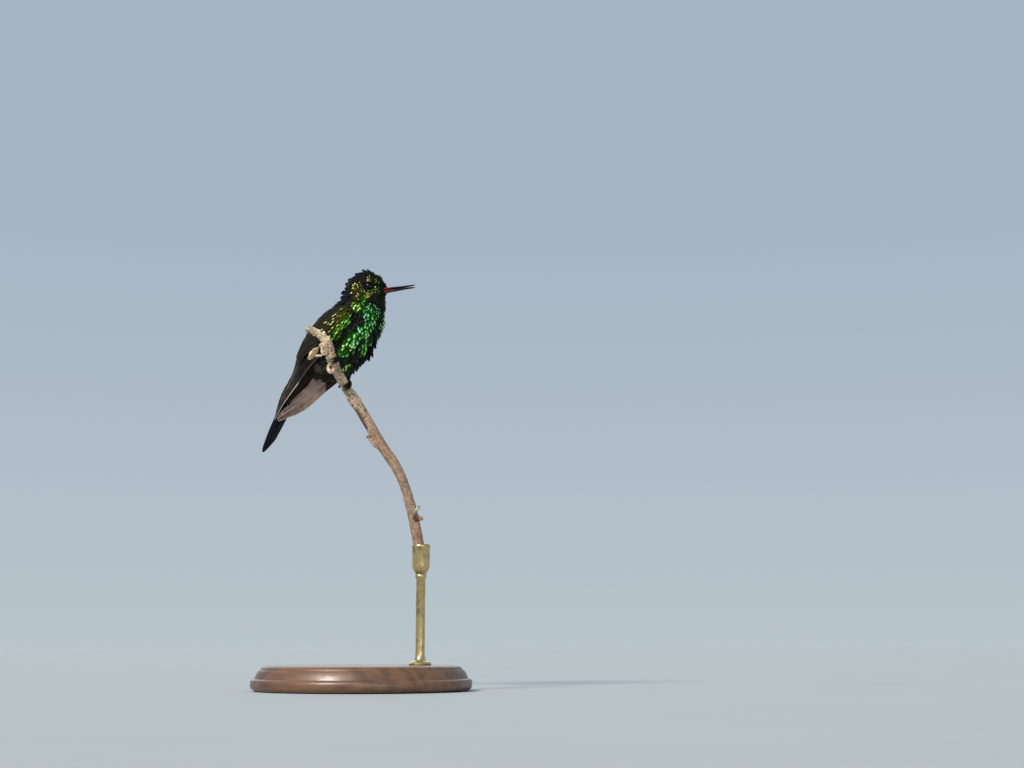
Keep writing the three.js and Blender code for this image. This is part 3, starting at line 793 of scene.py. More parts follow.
def small_feathers(name, vanes, roots_uv, colours, mirror=False):
    """One mesh of small feathers from their points and their Vane map. The colours are their dark one,
    their bright one, and how strongly they flash."""
    colours = dict(zip(("dark", "bright", "flash"), colours))
    return feather_mesh(name, *vanes, len(ROWS_AT) - 1, SMALL_COLUMNS, roots_uv, colours, mirror)


def inset(shares):
    """Places on the OFBake map from shares of its width and height, a little inside its border."""
    return 0.01 + 0.98 * shares


def scattered(rng, count):
    """Random places on the OFBake map."""
    return 0.5 + 0.45 * rng.uniform(-1, 1, (count, 2))


def search_tree(points):
    """A tree that finds the nearest of the points."""
    tree = KDTree(len(points))
    for i, point in enumerate(points):
        tree.insert(point, i)
    tree.balance()
    return tree


def spread(points, spacing):
    """Which points to keep, first come first served, so that none lies nearer a kept one than its spacing."""
    tree = search_tree(points)
    free = np.ones(len(points), bool)
    kept = []
    for i, point in enumerate(points):
        if free[i]:
            kept.append(i)
            for _, j, _ in tree.find_range(point, spacing[i]):
                free[j] = False
    return np.array(kept)


# ---- the body's line and its markings ----------------------------------------------------------------
SPINE = along_curve(catmull([
    (13, 0, 31.7), (9.5, 0, 32.6), (6, 0, 33), (3.6, 0, 30.6), (2, 0, 26.5), (-2, 0, 19), (-8, 0, 12.6),
    (-16, 0, 8), (-22, 0, 2.6), (-26, 0, -4),
], 400), 240)
SPINE_TANGENT = unit(np.gradient(SPINE, axis=0))


def on_spine(points):
    """Share of the way along the spine, the tail-ward direction there, and the angle round it, which is 0
    under the belly and 180 degrees on the back."""
    nearest = np.empty(len(points), int)
    for k in range(0, len(points), BLOCK):
        block = points[k : k + BLOCK]
        nearest[k : k + BLOCK] = ((block[:, None, [0, 2]] - SPINE[None][:, :, [0, 2]]) ** 2).sum(2).argmin(1)
    tangent = SPINE_TANGENT[nearest]
    offset = points - SPINE[nearest]
    below = -tangent[:, 2] * offset[:, 0] + tangent[:, 0] * offset[:, 2]
    return nearest / (len(SPINE) - 1), tangent, np.arctan2(points[:, 1], below)


def on_body(points):
    """Share of the way along the spine, and the angle to either side of the belly's middle."""
    share, _, angle = on_spine(points)
    return share, np.abs(angle)


def to_left(points):
    """The points, with those on the bird's right moved to the same place on its left."""
    return np.abs(points * (0, 1, 0)) + points * (1, 0, 1)


# Patches of painted glints, where the iridescent feathers flash in the sun, on one side; the other side
# mirrors them. Each is the line along its middle, its half width, the share of its feathers that flash, the
# depth of colour round the flashes, and the two colours that they mix.
FLASHES = [
    ([(5.8, 5.7, 32.2), (7.0, 5.6, 31.0), (8.4, 5.5, 30.0)], 1.6, 0.72, 0.40, "gold", "gold"),
    ([(8.0, 4.9, 35.2), (9.5, 4.5, 35.0)], 0.9, 0.75, 0.3, "gold", "gold"),
    ([(9.4, 3.6, 36.2), (10.8, 2.8, 35.6), (11.4, 2.4, 34.8)], 0.9, 0.45, 0.3, "gold", "lime"),
    ([(3.9, 5.8, 33.5), (5.8, 5.8, 33.5), (7.5, 5.8, 33.2)], 0.7, 0.26, 0.3, "gold", "gold"),
    ([(3.7, 6.5, 31.3), (5, 6.3, 31.4), (5.7, 6.9, 29.4), (7.2, 6.4, 27.9)], 1.2, 0.36, 0.5, "gold", "gold"),
    ([(11.5, 3.4, 31.5), (10.4, 4.3, 30.8), (9.2, 5.2, 29.4)], 1.0, 0.80, 0.4, "gold", "lime"),
    ([(8.9, 5.8, 27.9), (8.0, 6.1, 28.3)], 0.7, 0.80, 0.6, "lime", "lime"),
    ([(6.2, 7.6, 25.2), (7.2, 7.2, 24.7), (8.0, 6.4, 24.4)], 1.5, 0.60, 0.7, "lime", "gold"),
    ([(7.6, 6.4, 26.6), (8.6, 6.0, 25.6), (9.6, 4.9, 24.6)], 1.3, 0.42, 0.4, "emerald", "turquoise"),
    ([(10.4, 4.0, 25.0), (11.3, 2.2, 23.8), (11.0, 2.2, 21.6)], 1.6, 0.60, 0.5, "turquoise", "emerald"),
    ([(9.2, 4.9, 23.4), (9.9, 3.7, 22.0), (9.9, 3.3, 20.0)], 2.3, 0.88, 0.9, "emerald", "turquoise"),
    ([(9.2, 3.5, 18.8), (7.2, 4.7, 16.7), (5.2, 6.0, 14.6)], 2.0, 0.95, 1.0, "emerald", "turquoise"),
    ([(5.2, 6.0, 14.8), (3.3, 6.9, 11.8), (1.2, 7.1, 9.6)], 1.9, 0.85, 1.0, "lime", "emerald"),
    ([(8.5, 3.6, 16.6), (7.6, 2.5, 14.4), (6.4, 1.7, 12.1), (5.2, 1, 10.6)], 1, 0.92, 1.5, "lime", "emerald"),
    ([(0.7, 2.6, 6.7), (-0.8, 2.6, 5.5)], 0.9, 0.8, 0.8, "lime", "lime"),
    ([(4.9, 10, 20.4), (3.5, 10.2, 18.3), (1.8, 10.4, 16), (-0.2, 10.6, 13.8)], 1.5, 0.95, 1.1, "lime",
     "lime"),
    ([(3.4, 9.8, 22.6), (1.4, 10.4, 20.2), (-0.6, 10.6, 17.4)], 1.3, 0.55, 1.3, "lime", "bronze"),
    ([(2.4, 9.6, 23.0), (-0.4, 10.2, 21.0), (-3.2, 10.4, 18.0)], 2.3, 0.50, 1.5, "bronze", "bronze"),
]
PALE_SPOT = np.array([12.0, 2.7, 31.0])  # a small pale grey spot at the corner of the gape


def to_line(points, line):
    """Distance from each point to a line of straight stretches."""
    best = np.full(len(points), np.inf)
    for a, b in zip(line, line[1:]):
        a, b = np.array(a, float), np.array(b, float)
        t = np.clip((points - a) @ (b - a) / ((b - a) @ (b - a)), 0, 1)
        best = np.minimum(best, np.linalg.norm(points - a - t[:, None] * (b - a), axis=1))
    return best


def markings(points, rng, settings):
    """For each feather or skin point: its dark colour, which is painted shade, its flashing colour, which is
    a painted glint, and how strongly the glint shows.
    """
    folded = to_left(points)
    # The throat's and breast's flashes are centred a little to the left of the body's middle.
    shift = np.interp(points[:, 2], [20.0, 23.0, 27.0, 27.5], [2.2, 1.3, 1.3, 0.0])
    folded[:, 1] = np.abs(folded[:, 1] - shift * (points[:, 1] > 0))
    count = len(points)
    share, angle = on_body(folded)
    back = ease(angle, 1.5, 2.5)[:, None]
    head = 1 - ease(share, 0.30, 0.42)
    under = 1 - ease(angle, 1.2, 1.9)
    belly = ease(share, 0.48, 0.60) * under
    vent = ease(share, 0.57, 0.64) * under * (folded[:, 0] < -3)
    vent = np.maximum(ease(share, 0.62, 0.74) * (0.6 + 0.4 * under), vent)
    wing = ease(folded[:, 1], 7.8, 8.8)
    chance = 0.012 + 0.12 * ease(share, 0.28, 0.42) + 0.07 * back[:, 0] * (1 - head)
    chance = chance * (1 - ease(share, 0.50, 0.62) * under) * (1 - 0.8 * wing)
    strength = 0.34 - 0.16 * ease(share, 0.6, 0.75)
    worn = np.maximum(back, wing[:, None])
    bright = np.array(settings.emerald) * (1 - worn) + np.array(settings.bronze) * worn
    # Painted shade: lighter on the belly, and darker and bluer on the crown.
    dark = np.array(settings.shade) * (1 + 1.2 * belly - 0.45 * head * (1 - under))[:, None]
    dark = mixed(dark, np.array(settings.vent), vent[:, None])
    dark = dark * (1 - (head * (1 - under))[:, None] * (0.15, 0.22, -0.15))
    brown = np.array((0.005, 0.002, 0.0)) * back * (1 - head)[:, None]
    dark = dark * rng.uniform(0.5, 1.5, (count, 1)) + brown
    # Each patch paints glints on its feathers, and a deeper colour round them.
    for line, half_width, odds, depth, first, second in FLASHES:
        away = to_line(folded, line)
        near = 1 - ease(away, half_width * 0.85, half_width * 1.3)
        blend = rng.random((count, 1)) ** 1.3
        tint = np.array(getattr(settings, first)) * (1 - blend) + np.array(getattr(settings, second)) * blend
        glow = 1 - ease(away, half_width * 0.85, half_width * 1.25)
        glow = glow[:, None] * rng.uniform(0.45, 1.0, (count, 1))
        dark = mixed(dark, tint**2.0 * settings.glow * depth, glow * min(1.0, 0.4 + depth))
        taken = near * odds > chance
        bright = np.where(taken[:, None], tint, bright)
        chance = np.maximum(chance, near * odds)
        strength = np.where(taken, 1.0, strength)
    full = np.where(rng.random(count) < 0.76, rng.uniform(0.8, 1.0, count), rng.uniform(0.25, 0.5, count))
    flash = (rng.random(count) < chance) * strength * full
    bright = np.clip(bright * rng.uniform(0.8, 1.12, (count, 1)), 0, 1)
    spot = np.linalg.norm(folded - PALE_SPOT, axis=1) < 0.6
    dark[spot], flash[spot] = np.array(settings.down) * 0.35, 0.0
    return dark, bright, flash


def coat_depth(points, settings):
    """How far the skin lies inside the body's outline: least round the eye and at the bill."""
    folded = to_left(points)
    eye = np.linalg.norm(folded - EYE, axis=1)
    bill = np.linalg.norm(points - BILL_BASE, axis=1)
    full = settings.coat_depth / MM
    return full * (0.12 + 0.88 * ease(eye, 2.0, 4.2)) * (0.25 + 0.75 * ease(bill, 1.5, 6.0))


def sleekness(points):
    """How much further in the skin lies under the tail, where the coat is sleek, and between the tufts of
    the crown and nape."""
    share, angle = on_body(points)
    under = ease(share, 0.64, 0.76) * (1 - ease(angle, 1.2, 1.9))
    crown = ease(angle, 1.7, 2.4) * between(share, 0.09, 0.15, 0.18, 0.24)
    return 1.7 * under + 0.35 * crown


def spacing_at(points):
    """Distance between the body feathers' roots."""
    share, _ = on_body(points)
    bill = np.linalg.norm(points - BILL_BASE, axis=1)
    size = np.interp(share, [0, 0.16, 0.3, 0.42, 0.6, 0.8, 1.0], [0.42, 0.68, 0.80, 0.88, 0.94, 0.95, 0.95])
    return np.minimum(size, 0.34 + 0.045 * bill)


def ruffle_at(points):
    """How far single feathers stand off the coat: most on the crown, nape, chest and belly's outline."""
    share, angle = on_body(points)
    front = 1 - ease(angle, 0.5, 1.3)
    crown = ease(angle, 1.9, 2.7) * between(share, 0.08, 0.16, 0.36, 0.44)
    belly = front * between(share, 0.5, 0.6, 0.8, 0.9)
    return 0.25 + 0.1 * crown + 0.9 * belly + 0.5 * front * ease(share, 0.25, 0.35)


def fullness_at(points):
    """How far the whole coat stands out over the body's solids: most on nape, throat, chest and belly."""
    share, angle = on_body(points)
    front = 1 - ease(angle, 0.4, 1.2)
    nape = ease(angle, 1.7, 2.5) * between(share, 0.17, 0.23, 0.36, 0.44)
    chest = between(share, 0.10, 0.20, 0.50, 0.60)
    belly = between(share, 0.52, 0.62, 0.74, 0.84)
    throat = np.interp(points[:, 2], [13.0, 15.5, 19.5, 21.5, 23.5, 26.0], [0.0, -0.45, -0.45, 0.0, 0.5, 0.0])
    throat = throat * ease(points[:, 0], 4.0, 8.0)
    front = front * (0.62 * chest * (1 - ease(share, 0.31, 0.42)) + 0.04 * chest + 0.30 * belly + throat)
    return 0.4 * nape + front


def flow_at(points, normals):
    """The way that the feathers lie: away from the bill on the head, and tail-ward on the body."""
    _, tangent, _ = on_spine(points)
    away = points - BILL_BASE
    blend = ease(np.linalg.norm(away, axis=1), 5.0, 13.0)[:, None]
    flow = unit(away) * (1 - blend) + tangent * blend
    side = np.where(points[:, 1:2] > 0, 1.0, -1.0) * (0, 1, 0) + (1, 0, 1)
    from_eye = points - EYE * side
    distance = np.linalg.norm(from_eye, axis=1, keepdims=True)
    toward = np.minimum((flow * from_eye).sum(1, keepdims=True) / distance, 0)
    toward = toward * (1 - ease(distance, 2.1, 3.4))
    flow = flow - from_eye / distance * toward * 1.3  # parts round the eye
    return unit(flow - normals * (flow * normals).sum(1, keepdims=True))


# Feathers drawn together, as where a tuft's middle root and its tip are and how many feathers it takes: the
# raised tufts of the crown and nape, then the belly's ragged edge.
TUFTS = [
    ((9.6, 0.2, 37.2), (5.9, 0.2, 39.9), 18), ((7.9, 0.2, 37.7), (3.8, 0.3, 40.1), 20),
    ((5.3, -0.4, 36.8), (1.5, -0.5, 38.8), 16), ((5.6, 1.7, 36.6), (2.2, 1.8, 38.2), 10),
    ((2.7, 0.3, 35.2), (-1.7, 0.3, 37.2), 14), ((3.0, -1.9, 34.8), (-0.2, -2.0, 36.2), 8),
    ((1.2, -0.8, 34.2), (-2.5, -0.7, 35.6), 10), ((0.4, 0.4, 33.4), (-3.2, 0.3, 34.3), 12),
    ((0.8, 2.0, 33.2), (-1.8, 2.2, 34.0), 8), ((-0.6, -0.9, 31.9), (-4.0, -0.8, 32.5), 10),
    ((-1.4, 0.6, 30.8), (-4.9, 0.5, 31.3), 12), ((-0.6, -1.8, 30.6), (-3.2, -2.0, 31.0), 8),
    ((8.2, 2.8, 16.3), (8.4, 2.2, 13.0), 10), ((7.1, 2.6, 13.6), (7.3, 2.2, 10.0), 12),
    ((6.1, 2.4, 11.8), (5.9, 2.0, 8.6), 12), ((4.6, 1.4, 10.2), (3.9, 1.5, 7.6), 12),
    ((3.0, 0.4, 9.0), (2.2, 0.8, 6.8), 12),
]
DOWN_PLACE = np.array([-8.4, 6.4, 6.8])  # the middle of the pale down, beside the tail's root
REGIONS = {  # a coat piece: the stretch of the spine it covers, and the angles round it, in degrees
    "coat_face": (0.0, 0.12, 0, 180),
    "coat_crown": (0.12, 0.30, 95, 180),
    "coat_cheeks": (0.12, 0.24, 0, 95),
    "coat_throat": (0.24, 0.38, 0, 95),
    "coat_nape": (0.30, 0.46, 95, 180),
    "coat_breast": (0.38, 0.60, 0, 95),
    "coat_back": (0.46, 0.76, 95, 180),
    "coat_belly": (0.60, 0.80, 0, 95),
    "coat_rump": (0.76, 1.01, 95, 180),
    "coat_vent": (0.80, 1.01, 0, 95),
}
SLOT_OF = {
    **dict.fromkeys(("coat_face", "coat_crown", "coat_cheeks"), "gold_green_feathers"),
    **dict.fromkeys(("coat_rump", "coat_vent"), "dark_feathers"),
}


def draw_roots(skin, rng, count):
    """Random places on the skin, denser where the feathers are small, with their normals."""
    mesh = skin.data
    mesh.calc_loop_triangles()
    points = points_of(skin)[triples(mesh.loop_triangles, "vertices", int)]
    cross = np.cross(points[:, 1] - points[:, 0], points[:, 2] - points[:, 0])
    weight = np.linalg.norm(cross, axis=1) / spacing_at(points.mean(1)) ** 2
    pick = rng.choice(len(points), count, p=weight / weight.sum())
    a, b = rng.random((2, count))
    over = a + b > 1
    a, b = np.where(over, 1 - a, a)[:, None], np.where(over, 1 - b, b)[:, None]
    first, second, third = points[pick].swapaxes(0, 1)
    return first + a * (second - first) + b * (third - first), unit(cross[pick])


def laid_paths(tree, roots, flow, lengths, rise):
    """Paths of feathers that follow the skin from their roots, their tips lifted by rise."""
    count, rows = len(roots), len(ROWS_AT)
    paths = np.empty((count, rows, 3))
    normals = np.empty((count, rows, 3))
    for i in range(count):
        for j, u in enumerate(ROWS_AT):
            guess = roots[i] + flow[i] * lengths[i] * u
            hit, normal, _, _ = tree.find_nearest(guess)
            paths[i, j], normals[i, j] = hit, normal
    for _ in range(2):  # evens out the skin's small facets
        for rows_of in (paths, normals):
            rows_of[:, 1:-1] = (rows_of[:, :-2] + 2 * rows_of[:, 1:-1] + rows_of[:, 2:]) / 4
    normals = unit(normals)
    height = -0.10 + (rise[:, None] + 0.10) * ROWS_AT[None] ** 0.85
    return paths + normals * height[..., None], normals


def clear_of_parts(roots):
    """Roots that lie off the eyes and bill."""
    off_eye = np.linalg.norm((to_left(roots) - EYE) * (1, 0.75, 1.25), axis=1) > 1.36
    off_bill = (roots[:, 0] < 12.9) | (np.linalg.norm((roots - BILL_BASE)[:, 1:], axis=1) > 1.15)
    return off_eye & off_bill


def under_wings(paths):
    """The body feathers' paths pressed in below the folded wings, and which of them the wings hide."""
    s, t = (grid.ravel() for grid in np.meshgrid(np.linspace(0.05, 0.80, 60), np.linspace(0.03, 0.97, 24)))
    reach, clearance, deepest = 0.6, 0.85, 1.6
    flat = paths.reshape(-1, 3).copy()
    excess = np.zeros(len(flat))
    for side_name, side in SIDES.items():
        sheet, out = on_wing(s, t, side_name)
        tree = search_tree(sheet)
        mine = np.flatnonzero(flat[:, 1] * side > 0)
        folded = mirrored(flat[mine], side)
        near = np.array([tree.find(point)[1] for point in folded])
        height = ((folded - sheet[near]) * out[near]).sum(1)
        beside = np.linalg.norm(folded - sheet[near] - out[near] * height[:, None], axis=1)
        excess[mine] = np.where(beside < reach, np.maximum(height + clearance, 0), 0)
        flat[mine] = mirrored(folded - out[near] * np.minimum(excess[mine], deepest)[:, None], side)
    hidden = (excess.reshape(paths.shape[:2]) > 1.0).any(1)
    return flat.reshape(paths.shape), hidden


SWELL = 0.24  # closes the cuts between the body's solids while the skin is made


def make_skin(settings):
    """One closed skin through the body, head and thighs, inside their outline by the coat's depth."""
    bpy.ops.object.select_all(action="DESELECT")
    for name in FLESH:
        frame["nodes"][name].select_set(True)
    bpy.context.view_layer.objects.active = frame["nodes"][FLESH[0]]
    bpy.ops.object.duplicate()
    copies = list(bpy.context.selected_objects)
    bpy.ops.object.parent_clear(type="CLEAR_KEEP_TRANSFORM")
    skin = join("skin", copies)
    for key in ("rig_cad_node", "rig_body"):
        del skin[key]
    clean(skin, 1e-6)
    modify(skin, "swell", "DISPLACE", strength=SWELL * MM, mid_level=0.0)
    remesh(skin, SKIN_GRID)
    relax(skin, 12)
    apply_modifiers(skin)
    points, normals = points_of(skin), triples(skin.data.vertices, "normal")
    inward = coat_depth(points, settings) + SWELL + sleekness(points)
    set_points(skin, points - normals * inward[:, None])
    relax(skin, 4)
    apply_modifiers(skin)
    smooth(skin)
    return skin


def scene_settings():
    return bpy.context.scene.hummingbird


# ---- operators: one for each piece or group of like pieces ------------------------------------------
CAMERA_EYE, CAMERA_AIM = (0.27603, -0.41492, 0.01384), (0.04486, 0.01985, 0.10066)  # scene metres


class HUMMINGBIRD_OT_stage(bpy.types.Operator):
    """Camera, soft lights, a pale floor and a pale sky"""
    bl_idname = "hummingbird.stage"
    bl_label = "Stage"

    def execute(self, context):
        settings = scene_settings().stage
        eye, aim = Vector(CAMERA_EYE), Vector(CAMERA_AIM)
        turn = (aim - eye).to_track_quat("-Z", "Y").to_euler()
        bpy.ops.object.camera_add(location=eye, rotation=turn)
        camera = bpy.context.object
        camera.data.lens = settings.lens
        camera.data.sensor_width = 36
        camera.data.clip_start = 0.01
        context.scene.camera = camera
        context.scene.view_settings.view_transform = "Standard"
        lights = [  # name, the side it shines from, strength, spread in degrees, colour
            ("key", (-0.11, -0.78, 0.616), 3.8, 16, (1.0, 0.965, 0.91)),
            ("fill", (0.72, -0.66, 0.10), 0.9, 40, (1.0, 0.97, 0.94)),
            ("back", (-0.55, 0.70, 0.55), 0.6, 50, (0.95, 0.98, 1.0)),
        ]
        for name, side, strength, spread_out, tint in lights:
            turn = (-Vector(side)).to_track_quat("-Z", "Y").to_euler()
            bpy.ops.object.light_add(type="SUN", location=Vector(side) * 0.5, rotation=turn)
            light = bpy.context.object
            light.name = f"{name}_light"
            light.data.energy, light.data.angle, light.data.color = strength, math.radians(spread_out), tint
        world = bpy.data.worlds.new("pale_sky")
        world.use_nodes = True
        sky, sky_line, full_sky = Nodes(world.node_tree), 0.0, 0.28  # heights up the dome
        height = sky.split(sky.add("TexCoord").outputs["Generated"])[2]
        share = sky.add("MapRange", {0: height, 1: sky_line, 2: full_sky}).outputs[0]
        tint = sky.mix(share, (*settings.horizon,), (*settings.backdrop,))
        sky.feed(tint, sky.tree.nodes["Background"].inputs[0])
        context.scene.world = world
        just_below = (0, 0, -0.2 * MM)
        floor = primitive("grid", "floor", x_subdivisions=8, y_subdivisions=8, size=60, location=just_below)
        settle(floor)
        floor.data.materials.append(paper_finish("floor_paper", (*settings.floor,)))
        return {"FINISHED"}


class HUMMINGBIRD_OT_plumage(bpy.types.Operator):
    """The skin and the body's feathers over it"""
    bl_idname = "hummingbird.plumage"
    bl_label = "Body plumage"

    def execute(self, context):
        settings = scene_settings().plumage
        rng = np.random.default_rng(settings.seed)
        skin = make_skin(settings)
        tree = BVHTree.FromPolygons(points_of(skin).tolist(), [tuple(p.vertices) for p in skin.data.polygons])
        roots, facets = draw_roots(skin, rng, BODY_TRIES)
        scale = settings.feather_scale
        keep = spread(roots, spacing_at(roots) * scale)
        roots, facets = roots[keep], facets[keep]
        keep = clear_of_parts(roots)
        roots, facets = roots[keep], facets[keep]
        size = spacing_at(roots) * scale
        flow = flow_at(roots, facets)
        vent = ease(on_spine(roots)[0], 0.62, 0.72)
        swing = rng.normal(0, 0.20, (len(roots), 1)) * (1 - 0.6 * vent[:, None])
        flow = unit(flow + np.cross(facets, flow) * swing)
        lengths = size * rng.uniform(2.7, 3.5, len(roots)) * (1 + 0.3 * vent)
        rise = coat_depth(roots, settings) * rng.uniform(1.0, 1.35, len(roots))
        rise = rise + fullness_at(roots) + ruffle_at(roots) * (0.15 + rng.random(len(roots)) ** 3)
        paths, normals = laid_paths(tree, roots, flow, lengths, rise)
        paths, hidden = under_wings(paths)
        raised = np.concatenate([self.raise_tuft(rng, roots, facets, paths, *ends) for ends in TUFTS])
        widths = size * rng.uniform(1.55, 1.95, len(roots)) * (1 - 0.25 * vent)
        widths[raised] = np.minimum(widths[raised] * 1.4, 1.5)
        points, vane_uv = vane_points(paths, normals, widths, ROWS_AT, CONTOUR)
        points[raised], _ = vane_points(paths[raised], normals[raised], widths[raised], ROWS_AT, POINTED)
        dark, bright, flash = markings(paths[:, -2], rng, settings)
        # The raised tufts take a darker, bluer painted shade and hardly any painted glint.
        dark[raised], flash[raised] = dark[raised] * (0.5, 0.48, 0.66), flash[raised] * 0.1
        share, _, angle = on_spine(roots)
        degrees = np.degrees(angle)
        finish = plumage_finish()
        taken = hidden.copy()
        for name, (first, last, low, high) in REGIONS.items():
            inside = (share >= first) & (share < last) & ~taken
            inside &= (np.abs(degrees) >= low) & (np.abs(degrees) < high + 0.1)
            taken |= inside
            round_spine = degrees[inside] if low < 90 else np.mod(degrees[inside], 360)
            around = (round_spine - round_spine.min()) / max(np.ptp(round_spine), 1e-6)
            down = (share[inside] - first) / (last - first)
            roots_uv = inset(np.column_stack([around, down]))
            colours = (dark[inside], bright[inside], flash[inside])
            coat = small_feathers(name, (points[inside], vane_uv), roots_uv, colours)
            finish_piece(coat, finish, SLOT_OF.get(name, "green_feathers"))
        self.down(tree, rng, settings, finish)
        skin_dark, skin_bright, skin_flash = markings(points_of(skin), rng, settings)
        # The skin takes a little of the painted glints' colour over its painted shade.
        skin_flash = np.minimum(skin_flash, 0.25)[:, None]
        mark(skin.data, "dark", skin_dark * (1 - skin_flash) + skin_bright * skin_flash * 0.2)
        finish_piece(skin, skin_finish(), "green_feathers", *FLESH)
        return {"FINISHED"}

    def raise_tuft(self, rng, roots, facets, paths, start, end, count):
        """Draws the feathers round one place together into a raised, pointed tuft."""
        start, end = np.array(start), np.array(end)
        u = ROWS_AT[:, None]
        near = np.argsort(np.linalg.norm(roots - start, axis=1))[:count]
        for i in near:
            tip = end + rng.normal(0, 0.16, 3)
            middle = (roots[i] + tip) / 2 + facets[i] * 0.35
            paths[i] = roots[i] * (1 - u) ** 2 + middle * 2 * u * (1 - u) + tip * u**2
        return near

    def down(self, tree, rng, settings, finish):
        """Loose pale down on the flanks, beside the tail's root."""
        count = DOWN_COUNT
        around = DOWN_PLACE + rng.normal(0, 0.62, (count, 3))
        around[::2, 1] *= -1
        roots, facets = (np.array(rows) for rows in zip(*(tree.find_nearest(p)[:2] for p in around.tolist())))
        flow = unit(np.array((-0.5, 0, -0.6)) + rng.normal(0, 0.55, (count, 3)))
        flow = unit(flow - facets * (flow * facets).sum(1, keepdims=True))
        u = ROWS_AT[None, :, None]
        reach = rng.uniform(0.5, 1.2, (count, 1, 1))
        paths = roots[:, None] + flow[:, None] * reach * u + facets[:, None] * (0.6 + 0.8 * np.sqrt(u))
        paths = paths + rng.normal(0, 0.10, paths.shape) * u
        normals = np.broadcast_to(facets[:, None], paths.shape)
        vanes = vane_points(paths, normals, rng.uniform(0.10, 0.20, count), ROWS_AT, CONTOUR)
        pale = np.array(settings.down) * rng.uniform(0.12, 0.8, (count, 1))
        roots_uv = scattered(rng, count)
        wisps = small_feathers("vent_down", vanes, roots_uv, (pale, pale, np.zeros(count)))
        finish_piece(wisps, finish, "dark_feathers")


# ---- wings and tail ----------------------------------------------------------------------------------
# Each wing's leading and trailing edges from the shoulder to the tip, as if it were the right one. The left
# hand crosses under the tail.
ARM = [
    [(6.6, -8.2, 24.4), (5.4, -9.4, 21.0), (-0.1, -10.6, 13.9), (-9.2, -10.6, 6.4)],
    [(1.5, -7.2, 26.4), (-4.2, -7.0, 25.4), (-10.8, -6.2, 21.0), (-16.9, -5.0, 14.2)],
]
HANDS = {
    "right": [
        [(-16.0, -8.8, 0.6), (-23.7, -6.0, -5.0), (-28.7, -3.7, -9.7)],
        [(-20.1, -4.2, 6.2), (-26.2, -3.0, -1.0), (-29.9, -2.0, -8.5)],
    ],
    "left": [
        [(-16.0, -8.7, 1.0), (-23.3, -5.6, -5.8), (-29.6, 0.0, -9.6)],
        [(-19.6, -4.3, 5.9), (-25.3, -2.2, -1.9), (-30.2, 0.7, -8.2)],
    ],
}
EDGE_STEPS = 300
EDGE_POINTS = {
    side_name: [catmull(arm + end, EDGE_STEPS + 1) for arm, end in zip(ARM, hand)]
    for side_name, hand in HANDS.items()
}
FLIGHT_ROWS = np.linspace(0, 1, 15)
RECTRIX_WIDTH = 2.9
TAIL_ROOT, TAIL_TIP = np.array([-21.0, 0.8, 6.0]), np.array([-38.7, 4.3, -19.3])


def profile(stations):
    """Widths of a long feather whose outline passes through [share of the length, width] pairs."""
    return np.interp(FLIGHT_ROWS, *np.array(stations, float).T)


PRIMARY = profile([(0, 0.3), (0.12, 0.6), (0.35, 0.95), (0.6, 1), (0.8, 0.86), (0.92, 0.6), (1, 0.12)])
RECTRIX = profile([(0, 0.4), (0.2, 0.8), (0.5, 1), (0.8, 0.96), (0.93, 0.86), (0.98, 0.66), (1, 0.34)])


def on_wing(s, t, side_name):
    """Points of a wing's middle sheet, s from the shoulder to the tip and t from the leading edge to the
    trailing one, and the directions out of its upper side there, all as if it were the right wing."""
    s = np.clip(s, 0, 1)

    def edge_at(s, edge):
        return np.stack([np.interp(s * EDGE_STEPS, np.arange(EDGE_STEPS + 1), c) for c in edge.T], -1)

    def flat(s, t):
        lead, trail = (edge_at(np.clip(s, 0, 1), edge) for edge in EDGE_POINTS[side_name])
        return mixed(lead, trail, t[..., None])

    step = 0.004
    down = flat(s + step, t) - flat(s - step, t)
    out = unit(np.cross(down, flat(s, t + step) - flat(s, t - step)))
    out = np.where(out[..., 1:2] > 0, -out, out)
    arch = 1.6 * np.sin(np.pi * np.minimum(1, 0.2 + s)) * np.sin(np.pi * np.clip(t, 0, 1))
    return flat(s, t) + out * arch[..., None], out


def wing_vanes(side_name, roots, tips, bend, widths, leading_share, outline, level, outer=False):
    """Long vanes laid on the wing's sheet between its edges. roots and tips are the shafts' ends as (s, t),
    bend how late a shaft turns to its tip, and leading_share the part of the width ahead of the shaft. With
    outer, the first vane's edge is the wing's own."""
    u = FLIGHT_ROWS[None]
    s = roots[:, :1] + (tips[:, :1] - roots[:, :1]) * u
    shaft = roots[:, 1:] + (tips[:, 1:] - roots[:, 1:]) * u**bend
    lead, _ = on_wing(s, np.zeros_like(s), side_name)
    trail, _ = on_wing(s, np.ones_like(s), side_name)
    chord = np.maximum(np.linalg.norm(trail - lead, axis=2), 2.2)
    wide = widths[:, None] * outline[None] / chord
    first = np.clip(shaft - wide * leading_share, 0.0, 1.0)
    first[0] = 0.0 if outer else first[0]
    last = np.clip(shaft + wide * (1 - leading_share), 0.0, 1.0)
    v = np.linspace(0, 1, LONG_COLUMNS + 1)
    t = last[..., None] + (first - last)[..., None] * v
    points, out = on_wing(np.broadcast_to(s[..., None], t.shape), t, side_name)
    middle, arch_height, thickness = LONG_COLUMNS // 2, 0.14, 0.09
    arch = arch_height * (1 - (2 * v - 1) ** 2)
    points = points + out * (level[:, None, None] + arch)[..., None]
    keel = points[:, :, middle] - out[:, :, middle] * (thickness + arch_height)
    grid = points.reshape(len(roots), -1, 3)
    return np.concatenate([grid, keel], axis=1), vane_map(FLIGHT_ROWS, v)


def mirrored(points, side):
    return points * (1, -side, 1)


